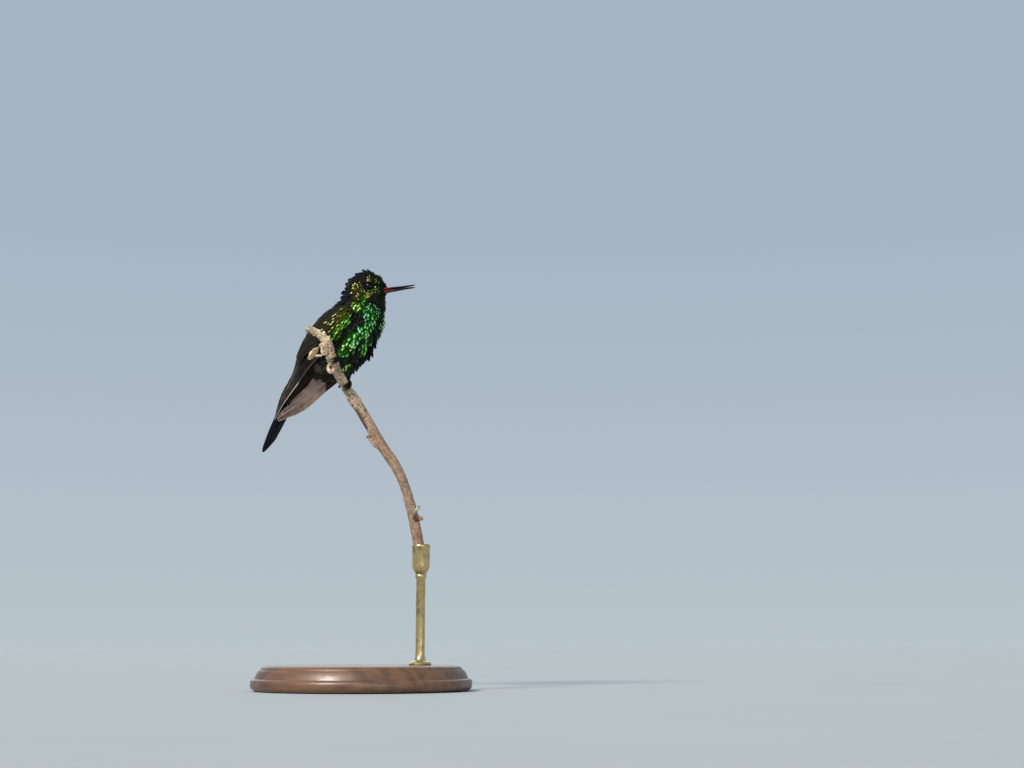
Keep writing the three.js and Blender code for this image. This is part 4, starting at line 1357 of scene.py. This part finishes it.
def shown_colours(settings, count, rng, edges):
    """Colours of flight feathers: dark above, and pale below, partly with painted light shining through, with
    worn pale edges.
    """
    upper = np.array(settings.upper) * rng.uniform(0.75, 1.3, (count, 1))
    lower = np.array(settings.lower) * rng.uniform(0.74, 1.22, (count, 1))
    rims = tuple(np.tile(np.array(rim), (count, 1)) for rim in (settings.edge, settings.lower_edge))
    return {"dark": (upper, lower), "bright": rims, "flash": np.array(edges)}


def strips(count):
    """Places side by side on the OFBake map for count long feathers."""
    return np.column_stack([np.full(count, 0.5), (np.arange(count) + 0.5) / count])


class HUMMINGBIRD_OT_wings(bpy.types.Operator):
    """Folded wings: flight feathers, and the coverts over and under them"""
    bl_idname = "hummingbird.wings"
    bl_label = "Wings"

    def execute(self, context):
        settings, plumage = scene_settings().wings, scene_settings().plumage
        rng = np.random.default_rng(plumage.seed + 1)
        flight = flight_finish("flight_feathers", 0.6)
        for side_name, side in SIDES.items():
            self.flight_feathers(settings, rng, flight, side_name, side)
            self.core(side_name, side)
            self.coverts(plumage, rng, side_name, side)
        return {"FINISHED"}

    def flight_feathers(self, settings, rng, finish, side_name, side):
        def lay(name, vanes, edges, patch, *nodes):
            points, vane_uv = vanes
            count = len(points)
            piece = feather_mesh(
                f"{name}_{side_name}", mirrored(points, side), vane_uv, len(FLIGHT_ROWS) - 1, LONG_COLUMNS,
                strips(count), shown_colours(settings, count, rng, edges), side > 0, patch,
            )
            finish_piece(piece, finish, "flight_feathers", *nodes)

        width = settings.primary_width / MM
        i = np.arange(10)  # from the outermost, which is the leading edge and lies lowest
        roots = np.column_stack([np.full(10, 0.18), 0.10 + 0.060 * i])
        tips = np.array([
            (1.0, 0.40), (0.995, 0.64), (0.98, 0.80), (0.955, 0.89), (0.92, 0.93), (0.88, 0.95),
            (0.835, 0.96), (0.79, 0.96), (0.74, 0.965), (0.69, 0.97),
        ])
        vanes = wing_vanes(
            side_name, roots, tips, np.interp(i, [0, 3, 9], [2.2, 1.7, 1.2])[:, None],
            width * np.interp(i, [0, 1, 9], [0.85, 0.95, 1.15]), 0.27, PRIMARY, -0.36 + 0.078 * i, True,
        )
        edges = [0.9, 0.45, 0.30, 0.40, 0.22, 0.35, 0.22, 0.30, 0.20, 0.25]
        lay("primary_feathers", vanes, edges, LONG_PATCH, f"primaries_{side_name}")
        j = np.arange(6)
        roots = np.column_stack([np.full(6, 0.12), 0.48 + 0.07 * j])
        tips = np.column_stack([0.65 - 0.05 * j, 0.80 + 0.028 * j])
        vanes = wing_vanes(
            side_name, roots, tips, np.full((6, 1), 1.2), np.full(6, width), 0.42, PRIMARY**0.6,
            0.40 + 0.045 * j,
        )
        lay("secondary_feathers", vanes, [0.1, 0.2, 0.1, 0.15, 0.1, 0.1], (0.94, 0.14))

    def core(self, side_name, side):
        """The arm and hand inside the coverts, as a thin lens."""
        core = primitive("grid", f"wing_arm_{side_name}", x_subdivisions=26, y_subdivisions=14, size=1)
        flat = (triples(core.data.vertices, "co") + 0.5).clip(0, 1)
        s, t = 0.06 + 0.38 * flat[:, 0], 0.09 + 0.84 * flat[:, 1]
        points, _ = on_wing(s, t, side_name)
        set_points(core, mirrored(points, side))
        clean(core)
        modify(core, "wall", "SOLIDIFY", thickness=0.75 * MM, offset=0.0)
        rounded(core)
        apply_modifiers(core)
        clean(core)
        smooth(core)
        mark(core.data, "dark", np.tile((0.006, 0.005, 0.003), (len(core.data.vertices), 1)))
        finish_piece(core, skin_finish(), "covert_feathers", f"wing_{side_name}")

    def coverts(self, plumage, rng, side_name, side):
        """Small feathers over the arm, longer ones further down the wing, on its upper and lower side."""
        finish = bpy.data.materials.get("glittering_plumage") or plumage_finish()
        for face, sign, reach in (("coverts", 1, 0.46), ("underwing", -1, 0.53)):
            s, t = rng.random(COVERT_TRIES) * reach, rng.random(COVERT_TRIES) * 0.93
            ahead = 1 - ease(t, 0.12, 0.36)
            inside = s < reach - 0.13 * ahead * (sign > 0)
            inside &= (sign > 0) | (t > 0.16 * ease(s, 0.30, 0.42))
            s, t = s[inside], t[inside]
            points, _ = on_wing(s, t, side_name)
            spacing = np.interp(s, [0, 0.2, 0.34, 0.5], [0.52, 0.72, 1.1, 1.4])
            keep = spread(points, spacing)
            s, t, spacing = s[keep], t[keep], spacing[keep]
            lengths = spacing * rng.uniform(2.5, 3.2, len(s))
            lengths = lengths * np.interp(s, [0, 0.3, 0.36, 0.5], [1, 1, 1.35, 1.5])
            step = 0.02
            ends = on_wing(s + step, t, side_name)[0] - on_wing(s - step, t, side_name)[0]
            wing_length = np.linalg.norm(ends, axis=1) / (2 * step)  # for one whole step of s
            drift = rng.normal(0.03, 0.03, len(s))
            u = ROWS_AT[None]
            paths, out = on_wing(
                s[:, None] + (lengths / wing_length)[:, None] * u,
                np.clip(t[:, None] + drift[:, None] * u, 0.0, 1.0), side_name,
            )
            base = np.interp(s, [0, 0.1, 0.5], [0.20, 0.34, 0.36]) + 0.22 * (sign > 0) * ease(s, 0.1, 0.2)
            rise = rng.uniform(0.20, 0.42, len(s)) + 0.4 * rng.random(len(s)) ** 6
            rim = np.sin(np.pi * np.clip(t, 0.02, 0.98)) ** (0.4 if sign > 0 else 0.25)
            height = (base[:, None] + rise[:, None] * u**0.85) * rim[:, None]
            normals = out * sign
            paths = paths + normals * height[..., None]
            widths = spacing * rng.uniform(1.5, 1.85, len(s))
            points, vane_uv = vane_points(paths, normals, widths, ROWS_AT, CONTOUR)
            dark, bright, flash = markings(paths[:, -2], rng, plumage)
            if sign < 0:
                flash = flash * 0.15
            else:
                flash = 0.84 * flash * (1 - 0.9 * ease(s, 0.32, 0.40)) * (1 - 0.6 * ease(t, 0.55, 0.8))
            brown = np.array((0.0185, 0.0135, 0.0095)) * rng.uniform(0.6, 1.5, (len(s), 1))
            worn = np.maximum(ease(s, 0.26, 0.38), ease(t, 0.6, 0.85)) if sign > 0 else np.ones(len(s))
            colours = (mixed(dark, brown, worn[:, None]), bright, flash)
            roots_uv = inset(np.column_stack([s / s.max(), t]))
            vanes = (mirrored(points, side), vane_uv)
            piece = small_feathers(f"{face}_{side_name}", vanes, roots_uv, colours, side > 0)
            finish_piece(piece, finish, "covert_feathers")


class HUMMINGBIRD_OT_tail(bpy.types.Operator):
    """Closed tail of ten feathers, the middle pair on top"""
    bl_idname = "hummingbird.tail"
    bl_label = "Tail"

    def execute(self, context):
        settings = scene_settings().wings
        rng = np.random.default_rng(scene_settings().plumage.seed + 2)
        axis = TAIL_TIP - TAIL_ROOT
        upward = np.array([-1.0, 0, 0.5])
        out = unit(upward - unit(axis) * (upward @ unit(axis)))
        paths, widths = [], []
        for side in (-1, 1):
            for j in range(4, -1, -1):
                reach = 1.0 - 0.012 * j - 0.004 * j**2
                u = FLIGHT_ROWS * reach
                start, growth = np.array([(0.12, 0.30, 0.30, 0.26, 0.16), (0.22, 0.42, 0.40, 0.30, 0.18)])
                aside = side * np.interp(u, [0, 0.3, 0.62, 0.85, 1.0], start + growth * j)
                arch = 0.5 * np.sin(np.pi * u) * (1 - (aside / RECTRIX_WIDTH) ** 2)
                level = 0.30 - 0.16 * j + 0.05 * (side > 0) + arch
                path = TAIL_ROOT + axis * u[:, None] + np.outer(level, out)
                paths.append(path + np.outer(aside, (0, 1, 0)))
                widths.append(RECTRIX_WIDTH if j else RECTRIX_WIDTH + 0.2)
        paths = np.array(paths)
        normals = np.tile(out, (*paths.shape[:2], 1))
        vanes = vane_points(
            paths, normals, np.array(widths), FLIGHT_ROWS, RECTRIX, LONG_COLUMNS, cup=0.06, thickness=0.10
        )
        count = len(paths)
        tint = np.array(settings.tail) * rng.uniform(0.8, 1.3, (count, 1))
        edge = np.tile((0.012, 0.014, 0.019), (count, 1))
        colours = {"dark": (tint, tint * 1.5), "bright": edge, "flash": np.full(count, 0.5)}
        tail = feather_mesh(
            "tail_feathers", *vanes, len(FLIGHT_ROWS) - 1, LONG_COLUMNS, strips(count), colours,
            patch=LONG_PATCH,
        )
        finish_piece(tail, flight_finish("blue_black_tail", 0.5), "tail_feathers", "tail")
        self.undertail(rng, axis, out)
        return {"FINISHED"}

    def undertail(self, rng, axis, out):
        """Long soft feathers under the tail's root, one of them grey."""
        count, plumage = UNDERTAIL_COUNT, scene_settings().plumage
        u = ROWS_AT[None]
        aside = np.linspace(-1, 1, count)[:, None]
        aside = np.where(np.arange(count)[:, None] % 2, aside, -aside[::-1])
        tip = 0.46 - 0.20 * np.abs(aside) ** 1.5 + rng.uniform(-0.02, 0.02, (count, 1))
        along = -0.04 + (tip + 0.04) * u
        level = -1.0 - 2.4 * np.maximum(0.24 - along, 0) ** 0.7 - 0.02 * np.arange(count)[:, None]
        spread_out = 0.7 + 2.7 * aside * (0.8 + 0.2 * u)
        paths = TAIL_ROOT + along[..., None] * axis + level[..., None] * out
        paths = paths + spread_out[..., None] * (0, 1, 0)
        normals = np.broadcast_to(-out, paths.shape)
        vanes = vane_points(paths, normals, rng.uniform(1.9, 2.4, count), ROWS_AT, CONTOUR)
        dark = np.array(plumage.vent) * rng.uniform(0.4, 0.9, (count, 1))
        greyish = 4  # the one feather that shows grey
        dark[greyish] = np.array(plumage.down) * 0.2
        roots_uv = scattered(rng, count)
        coverts = small_feathers("undertail_coverts", vanes, roots_uv, (dark, dark, np.zeros(count)))
        finish_piece(coverts, bpy.data.materials["glittering_plumage"], "dark_feathers")


# ---- head parts ----------------------------------------------------------------------------------------
BILL_ROOT, BILL_LENGTH = np.array([12.2, 0, 31.7]), 12.8


class HUMMINGBIRD_OT_bill(bpy.types.Operator):
    """Upper and lower mandible, a little apart at the tip"""
    bl_idname = "hummingbird.bill"
    bl_label = "Bill"

    def execute(self, context):
        settings = scene_settings().head
        # Each half with where its red turns to black, from the bird's origin forward.
        for node, side, black in (("bill_upper", 1, (13.6, 17.2)), ("bill_lower", -1, (15.2, 19.6))):
            stations = []
            for along in (0, 0.06, 0.14, 0.24, 0.36, 0.5, 0.64, 0.78, 0.88, 0.94, 0.98, 1.0, 1.012):
                taper = 1 - 0.55 * min(along, 1)
                close = np.interp(along, [0.88, 0.95, 0.98, 1.0, 1.012], [1, 0.85, 0.68, 0.46, 0.18])
                deep = 0.50 * taper
                rise = 0.2 * along + side * (0.02 + 0.20 * along**6 + deep)
                middle = BILL_ROOT + (BILL_LENGTH * along, 0, rise)
                stations.append((place(middle), (0.96 * taper * close * MM, deep * close * MM)))
            horn = drawn_out(f"{node}_horn", stations, 28, "X")
            rounded(horn)
            apply_modifiers(horn)
            points = points_of(horn)
            keel = side * (points[:, 2] - BILL_ROOT[2]) > 0.55
            points[keel, 1] *= 0.93
            set_points(horn, points)
            smooth(horn)
            finish_piece(horn, bill_finish(f"{node}_horn", settings, *black), node, node)
        flaps = [
            ball(f"nostril_{name}", (13.9, 0.62 * side, 32.35), (0.85, 0.16, 0.22), 16)
            for name, side in SIDES.items()
        ]
        flap = join("nostril_flaps", flaps)
        finish_piece(flap, bpy.data.materials["bill_upper_horn"], "bill_upper")
        return {"FINISHED"}


class HUMMINGBIRD_OT_eyes(bpy.types.Operator):
    """Dark eyes and the lids round them"""
    bl_idname = "hummingbird.eyes"
    bl_label = "Eyes"

    def execute(self, context):
        settings = scene_settings().head
        wet, skin = eye_finish(), lid_finish(settings)
        for name, side in SIDES.items():
            centre = EYE * (1, side, 1)
            axis = unit(np.array([0.34, 0.93 * side, 0.06]))
            forward = unit(np.cross(np.cross(axis, (1, 0, -0.12)), axis))
            up = np.cross(axis, forward)
            up = up if up[2] > 0 else -up
            eye = ball(f"eyeball_{name}", centre, (EYE_RADIUS,) * 3, 48)
            toward = unit(points_of(eye) - centre)
            from_axis = np.arccos(np.clip(toward @ axis, -1, 1)) * EYE_RADIUS
            mark(eye.data, "from_axis", from_axis)
            finish_piece(eye, wet, "eye", f"eye_{name}")
            lid = primitive(
                "torus", f"eyelid_{name}", major_segments=56, minor_segments=14, major_radius=1,
                minor_radius=0.26,
            )
            x, y, z = triples(lid.data.vertices, "co").T
            turn, across = np.arctan2(y, x), np.hypot(x, y) - 1
            corner = np.abs(np.cos(turn)) ** 6
            opening = np.radians(27 + 15 * np.abs(np.cos(turn)) + 5 * corner)
            skirt = np.where(across > 0, across * 2.4, across)
            wrinkle = 0.035 * np.sin(turn * 40) * (across > 0.05)
            tilt = opening + skirt / EYE_RADIUS
            height = EYE_RADIUS + 0.03 + 0.62 * z + wrinkle - 0.25 * np.maximum(across, 0)
            spoke = np.outer(np.cos(turn), forward) + np.outer(np.sin(turn), up)
            points = centre + height[:, None] * (np.cos(tilt)[:, None] * axis + np.sin(tilt)[:, None] * spoke)
            set_points(lid, points)
            clean(lid)
            smooth(lid)
            finish_piece(lid, skin, "eye")
            self.lid_feathers(name, centre, axis, forward, up)
        return {"FINISHED"}

    def lid_feathers(self, name, centre, axis, forward, up):
        """Tiny feathers over the lids, which stream back round the opening."""
        plumage = scene_settings().plumage
        rng = np.random.default_rng(plumage.seed + 5)
        turn = rng.random(LID_COUNT) * 2 * np.pi
        spoke = np.column_stack([np.cos(turn), np.sin(turn)])
        tilt = np.radians(34 + 19 * np.abs(spoke[:, 0]) + 34 * rng.random(LID_COUNT))
        flow = np.tile((-1.0, 0.0), (LID_COUNT, 1))
        flow = flow - spoke * np.minimum((flow * spoke).sum(1, keepdims=True), 0) + 0.3 * spoke
        flow = unit(flow + rng.normal(0, 0.12, flow.shape))
        u = ROWS_AT[None, :, None]
        reach = rng.uniform(0.55, 0.85, LID_COUNT) / EYE_RADIUS
        flat = (spoke * tilt[:, None])[:, None] + flow[:, None] * reach[:, None, None] * u
        tilt = np.linalg.norm(flat, axis=2, keepdims=True)
        normals = np.cos(tilt) * axis + np.sin(tilt) / tilt * (flat[..., :1] * forward + flat[..., 1:] * up)
        paths = centre + normals * (EYE_RADIUS + 0.14 + 0.16 * u)
        widths = rng.uniform(0.34, 0.46, LID_COUNT)
        vanes = vane_points(paths, normals, widths, ROWS_AT, CONTOUR, thickness=0.03)
        colours = markings(paths[:, -2], rng, plumage)
        coat = small_feathers(f"coat_lid_{name}", vanes, 0.5 + 0.3 * flat[:, 0], colours)
        finish_piece(coat, bpy.data.materials["glittering_plumage"], "gold_green_feathers")


# ---- perch -----------------------------------------------------------------------------------------------
TWIG = along_curve(catmull([
    (-5.9, -17.0, 17.2, 1.25), (-3.2, -16.7, 16.1, 1.3), (-0.9, -16.3, 14.7, 1.2), (0.6, -15.5, 12.8, 1.5),
    (0.9, -14.5, 10.4, 2.0), (1.0, -13.1, 8.0, 1.75), (0.8, -9.5, 4.2, 1.6), (0.3, -4.5, 0.6, 1.45),
    (0.9, -1.9, -2.4, 1.75), (3.4, 0.7, -7.4, 1.85), (6.7, 2.5, -13.6, 1.78), (10.3, 4.2, -20.2, 1.75),
    (14.8, 5.6, -27.0, 1.7), (17.7, 6.8, -33.6, 1.6), (20.3, 8.7, -44.9, 1.75), (22.1, 10.5, -57.9, 1.85),
], 600), 260)
GROWTHS = {  # knots and scraps on the twig: two ends, thickness and width
    "flake_stalk": ((-1.0, -15.4, 12.6), (-3.4, -15.6, 9.8), 0.7, 0.9),
    "flake": ((-2.6, -15.5, 11.0), (-6.1, -15.6, 7.2), 1.0, 3.7),
    "flake_foot": ((-4.2, -15.4, 8.2), (-0.6, -15.0, 8.2), 0.8, 1.0),
    "curl": ((-1.2, -15.4, 11.5), (-0.4, -15.2, 8.0), 1.2, 1.5),
    "curl_root": ((-0.8, -15.2, 9.6), (0.8, -14.8, 9.8), 1.3, 2.2),
    "stub": ((0.5, -15.7, 13.0), (0.0, -16.3, 16.2), 1.2, 1.5),
    "thorn": ((1.0, -15.5, 12.6), (2.5, -15.9, 14.4), 1.0, 1.2),
    "nub": ((-1.6, -16.6, 15.4), (-1.2, -17.2, 16.8), 1.0, 1.1),
    "leaf_ring": ((0.5, -12.0, 7.0), (-0.1, -11.5, 2.6), 2.2, 3.0),
    "tuft": ((2.0, -1.4, -3.4), (3.7, -1.6, -1.8), 1.0, 1.0),
    "bump": ((7.0, 2.2, -15.8), (5.6, 2.0, -17.4), 1.5, 1.6),
    "scar": ((6.6, 1.3, -17.2), (9.8, 2.5, -21.6), 1.0, 1.2),
    "lichen": ((21.2, 7.6, -42.8), (22.7, 8.0, -40.2), 0.8, 1.0),
    "bud": ((19.4, 8.6, -44.0), (24.2, 8.2, -44.6), 1.6, 2.1),
}
LICHEN = (0.40, 0.41, 0.30)
BARK_PATCHES = [  # place, radius, colour and strength
    ((-4.4, -15.6, 9.2), 2.4, (0.60, 0.47, 0.31), 0.85),
    ((0.4, -15.9, 10.4), 1.6, (0.68, 0.56, 0.40), 0.7),
    # painted light: a lighter, warmer patch that lifts the shade under the bird's body
    ((1.2, -14.8, 8.4), 2.6, (0.84, 0.59, 0.40), 0.75),
    ((-1.0, -15.9, 9.8), 1.3, (0.78, 0.66, 0.48), 0.8),
    ((-4.6, -17.4, 16.8), 2.6, (0.56, 0.52, 0.40), 0.6),
    ((0.1, -16.3, 15.4), 1.2, (0.86, 0.78, 0.56), 0.8),
    ((-1.9, -16.4, 11.2), 0.9, (0.05, 0.035, 0.025), 0.9),
    ((-0.2, -12.6, 5.2), 1.7, (0.62, 0.51, 0.36), 0.75),
    # painted shade: a dark spot for a hole in the leaf ring that the mesh doesn't have
    ((0.6, -12.8, 4.5), 0.75, (0.02, 0.013, 0.008), 1.0),
    ((2.6, -6.1, -0.5), 0.8, (0.04, 0.028, 0.02), 0.9),
    ((2.9, -1.8, -2.6), 1.6, (0.42, 0.44, 0.30), 0.8),
    ((2.3, -1.1, -6.6), 0.8, (0.035, 0.025, 0.018), 0.9),
    ((4.4, -0.8, -7.8), 1.1, (0.38, 0.33, 0.14), 0.6),
    # painted shade: a dark streak down the twig's left lower side
    *((spot, 0.85, (0.05, 0.035, 0.025), 0.8) for spot in np.linspace((3.2, -1, -8.4), (6, 0.9, -14.2), 9)),
    ((5.6, 0.0, -11.0), 0.8, (0.06, 0.04, 0.03), 0.6),
    ((6.4, 2.0, -18.0), 1.4, (0.09, 0.055, 0.035), 0.7),
    ((21.9, 7.6, -44.4), 1.5, (0.07, 0.04, 0.025), 0.9),
    ((21.5, 7.5, -41.4), 1.6, LICHEN, 0.8),
    ((19.9, 8.0, -52.4), 1.3, LICHEN, 0.6),
]


def twig_frame(u):
    """Directions at a share of the twig's length: along it, towards the bird's front, and away from both."""
    at = u * (len(TWIG) - 1)
    row = np.array([np.interp(at, np.arange(len(TWIG)), column) for column in TWIG.T])
    k = int(at)
    along = unit(TWIG[k + 1, :3] - TWIG[k - 1, :3])
    front = unit(np.array([1.0, 0, 0]) - along * along[0])
    above = np.cross(front, along)
    return row[:3], row[3], along, front, above if above[2] > 0 else -above


class HUMMINGBIRD_OT_perch(bpy.types.Operator):
    """The cut dead twig with its hook, knots, flake and bud"""
    bl_idname = "hummingbird.perch"
    bl_label = "Perch"

    def execute(self, context):
        settings = scene_settings().perch
        rng = np.random.default_rng(scene_settings().plumage.seed + 3)
        rows = TWIG.copy()
        waves = sum(
            rng.uniform(0.3, 1) * np.sin(np.linspace(0, rng.uniform(20, 90), len(rows)) + rng.uniform(0, 6))
            for _ in range(6)
        )
        rows[:, 3] += 0.035 * waves
        parts = [tube("twig", rows, 20)]
        parts += [drop(name, *sizes) for name, sizes in GROWTHS.items()]
        twig = join("bark_twig", parts)
        remesh(twig, BARK_GRID)
        relax(twig, 3)
        for relief in (("CLOUDS", 2.2, 0.55), ("CLOUDS", 0.8, 0.62), ("STUCCI", 0.5, 0.22)):
            roughen(twig, *relief)
        apply_modifiers(twig)
        smooth(twig)
        points = points_of(twig)
        nearest = np.concatenate([
            ((block[:, None] - TWIG[None, :, :3]) ** 2).sum(2).argmin(1)
            for block in np.array_split(points, math.ceil(len(points) / BLOCK))
        ])
        reach = nearest / (len(TWIG) - 1)
        centres = TWIG[nearest, :3]
        spoke = unit(points - centres)
        total = np.linalg.norm(np.diff(TWIG[:, :3], axis=0), axis=1).sum()
        grain = np.column_stack([reach * total, spoke[:, 0] * 2.0, spoke[:, 2] * 2.0 + spoke[:, 1] * 2.0])
        twig.data.attributes.new("grain", "FLOAT_VECTOR", "POINT").data.foreach_set("vector", grain.ravel())
        hollow = np.linalg.norm(points - centres, axis=1) - TWIG[nearest, 3]
        lower = ease(reach, 0.30, 0.52)
        smoothing = 0.6 * lower * (1 - ease(np.abs(hollow), 0.35, 0.6))  # the bark is smoother lower down
        set_points(twig, points - spoke * (hollow * smoothing)[:, None])
        lower = lower[:, None]
        tint = mixed(np.array(settings.bleached), np.array(settings.bark), lower)
        for spot, radius, patch, strength in BARK_PATCHES:
            away = np.linalg.norm(points - spot, axis=1)
            share = strength * (1 - ease(away, radius * 0.55, radius * 1.15))
            tint = mixed(tint, np.array(patch), share[:, None])
        # Painted shade in the bark's hollows and painted light on its ridges, half as strong lower down.
        depth = np.interp(hollow, [-0.30, -0.08, 0.08, 0.35], [0.38, 0.66, 1.0, 1.2])
        depth = 1 + (depth - 1) * (1 - 0.5 * lower[:, 0])
        mark(twig.data, "bark", np.clip(tint * depth[:, None], 0, 1))
        finish_piece(twig, bark_finish(), "bark", "perch")
        return {"FINISHED"}


# ---- feet ------------------------------------------------------------------------------------------------
# Where each foot grips, as a share of the twig's length, and where its shank enters the thigh.
GRIPS = {"left": (0.286, (-1.6, 1.2, 3.4)), "right": (0.16, (-1.6, -7.6, 8.0))}
TOE_RADIUS, PAD_RADIUS, PAD_HEIGHT = 0.38, 0.66, 0.92
TOE_SWEEP, CLAW_GAP, CLAW_SWEEP = 115, 4, 53  # degrees round the twig
# Where each toe starts round the twig, its share of the sweep, and its shift along the twig.
TOES = ((85, -1, -0.75), (85, -1, 0.0), (85, -1, 0.75), (95, 0.8, 0.0))


def round_twig(u, start, sweep, shifts, clearances, share):
    """Points beside the twig that sweep round it from its front towards its upper side, in degrees, at
    shares of the sweep."""
    centre, radius, along, front, above = twig_frame(u)
    share = share[:, None]
    angle = np.radians(start + sweep * share)
    distance = radius + 0.12 + mixed(*clearances, share)
    shift = mixed(*shifts, share)
    return centre + distance * (front * np.cos(angle) + above * np.sin(angle)) + along * shift


class HUMMINGBIRD_OT_feet(bpy.types.Operator):
    """Small dark feet that grip the twig: scaly toes and hooked claws"""
    bl_idname = "hummingbird.feet"
    bl_label = "Feet"

    def execute(self, context):
        scales, horn = foot_finish(), claw_finish()
        for name, (u, knee) in GRIPS.items():
            centre, radius, _, _, above = twig_frame(u)
            pad = centre + above * (radius + PAD_HEIGHT)
            toes, claws = [], []
            for start, sweep, shift in TOES:
                turn, way = TOE_SWEEP * sweep, math.copysign(1, sweep)
                share = np.linspace(0, 1, 26)
                line = round_twig(u, start, turn, (shift * 0.3, shift), (0.55, 0.44), share)
                knuckles = TOE_RADIUS * (1 - 0.22 * share + 0.13 * np.cos(6 * np.pi * share))
                toes.append(tube("toe", np.column_stack([line, knuckles])))
                share = np.linspace(0, 1, 18)
                nail_start = start + turn + way * CLAW_GAP
                nail = round_twig(u, nail_start, way * CLAW_SWEEP, (shift, shift * 1.1), (0.50, 0.06), share)
                claws.append(tube("claw", np.column_stack([nail, TOE_RADIUS * (0.88 - 0.80 * share**0.9)])))
            share = np.linspace(0, 1, 20)
            shank = mixed(pad, np.array(knee), share[:, None])
            girth = 0.46 * (1 + 0.35 * share + 0.10 * np.cos(2 * np.pi * share))
            toes.append(tube("shank", np.column_stack([shank, girth])))
            toes.append(ball("pad", pad, (PAD_RADIUS,) * 3, 16))
            foot = join(f"scaly_foot_{name}", toes)
            remesh(foot, FOOT_GRID)
            relax(foot, 3)
            apply_modifiers(foot)
            smooth(foot)
            mark(foot.data, "reach", np.linalg.norm(points_of(foot) - pad, axis=1))
            finish_piece(foot, scales, "foot", f"foot_{name}", f"tarsus_{name}")
            hooks = join(f"claws_{name}", claws)
            finish_piece(hooks, horn, "claw", *(f"claw_{name}_{k}" for k in range(1, 5)))
        return {"FINISHED"}


# ---- stand -----------------------------------------------------------------------------------------------
class HUMMINGBIRD_OT_stand(bpy.types.Operator):
    """Turned wooden base with a brass rod and cup that hold the twig"""
    bl_idname = "hummingbird.stand"
    bl_label = "Stand"

    def execute(self, context):
        settings = scene_settings().stand
        moulding = [  # height and radius, from the underside up
            (0, 34.6), (0.3, 35.2), (0.8, 35.7), (1.4, 35.95), (2.2, 36), (3, 35.95), (3.5, 35.6),
            (3.75, 35.1), (3.8, 34.7), (4.3, 34.5), (5, 34.2), (5.8, 33.8), (6.4, 33.4), (6.6, 33.2),
            (6.65, 32.8), (7.1, 32.6), (7.55, 32.2), (7.85, 31.6), (7.95, 30.9), (7.98, 29.8), (7.98, 12),
            (7.98, 1),
        ]
        base = turned("turned_base", (0, 0), moulding, 160, 35)
        finish_piece(base, wood_finish(settings), "walnut", "stand_base")
        *middle, end = place(TWIG[-1, :3])
        collar = [
            (5, 1.5), (7.9, 1.5), (7.95, 3.6), (8.5, 3.7), (9, 3.4), (9.3, 2.6), (9.6, 2), (10.4, 1.62),
            (12, 1.5),
        ]
        cup = [  # above the cup's floor, which lies 2 mm below the twig's end
            (-4.2, 1.5), (-3.6, 1.9), (-3.2, 1.95), (-2.8, 1.7), (-2, 2.1), (-0.9, 2.75), (0, 2.88),
            (5.8, 2.88), (6, 3), (6.6, 3), (6.9, 2.9), (7, 2.75), (6.9, 2.6), (6.6, 2.5), (6.5, 0.5),
        ]
        rod = turned("brass_rod", middle, collar + [(end / MM - 2 + h, r) for h, r in cup], 64, 40)
        finish_piece(rod, brass_finish(settings), "brass", "stand_rod")
        return {"FINISHED"}


# ---- the add-on's own parts ---------------------------------------------------------------------------
class HummingbirdSettings(bpy.types.PropertyGroup):
    plumage: PointerProperty(name="Plumage", description="Body feathers", type=HummingbirdPlumage)
    wings: PointerProperty(name="Wings", description="Wing and tail feathers", type=HummingbirdWings)
    head: PointerProperty(name="Head", description="Bill and eyes", type=HummingbirdHead)
    perch: PointerProperty(name="Perch", description="The twig", type=HummingbirdPerch)
    stand: PointerProperty(name="Stand", description="The display stand", type=HummingbirdStand)
    stage: PointerProperty(name="Stage", description="Camera, lights and floor", type=HummingbirdStage)


GROUPS = (
    HummingbirdPlumage, HummingbirdWings, HummingbirdHead, HummingbirdPerch, HummingbirdStand,
    HummingbirdStage, HummingbirdSettings,
)
OPERATORS = (
    HUMMINGBIRD_OT_stage, HUMMINGBIRD_OT_stand, HUMMINGBIRD_OT_perch, HUMMINGBIRD_OT_plumage,
    HUMMINGBIRD_OT_wings, HUMMINGBIRD_OT_tail, HUMMINGBIRD_OT_bill, HUMMINGBIRD_OT_eyes, HUMMINGBIRD_OT_feet,
)


class HUMMINGBIRD_PT_panel(bpy.types.Panel):
    """Lists the hummingbird's pieces and their settings"""
    bl_idname = "HUMMINGBIRD_PT_panel"
    bl_label = "Hummingbird"
    bl_space_type = "VIEW_3D"
    bl_region_type = "UI"
    bl_category = "Hummingbird"

    def draw(self, context):
        for operator in OPERATORS:
            self.layout.operator(operator.bl_idname)
        for group in ("plumage", "wings", "head", "perch", "stand", "stage"):
            box = self.layout.box()
            settings = getattr(context.scene.hummingbird, group)
            for name in settings.bl_rna.properties.keys():
                if name not in ("rna_type", "name"):
                    box.prop(settings, name)


CLASSES = (*GROUPS, *OPERATORS, HUMMINGBIRD_PT_panel)


def register():
    for item in CLASSES:
        bpy.utils.register_class(item)
    bpy.types.Scene.hummingbird = PointerProperty(type=HummingbirdSettings)


def unregister():
    del bpy.types.Scene.hummingbird
    for item in reversed(CLASSES):
        bpy.utils.unregister_class(item)


def main():
    register()
    for operator in OPERATORS:
        getattr(bpy.ops.hummingbird, operator.bl_idname.split(".")[1])()


if __name__ == "__main__":
    main()
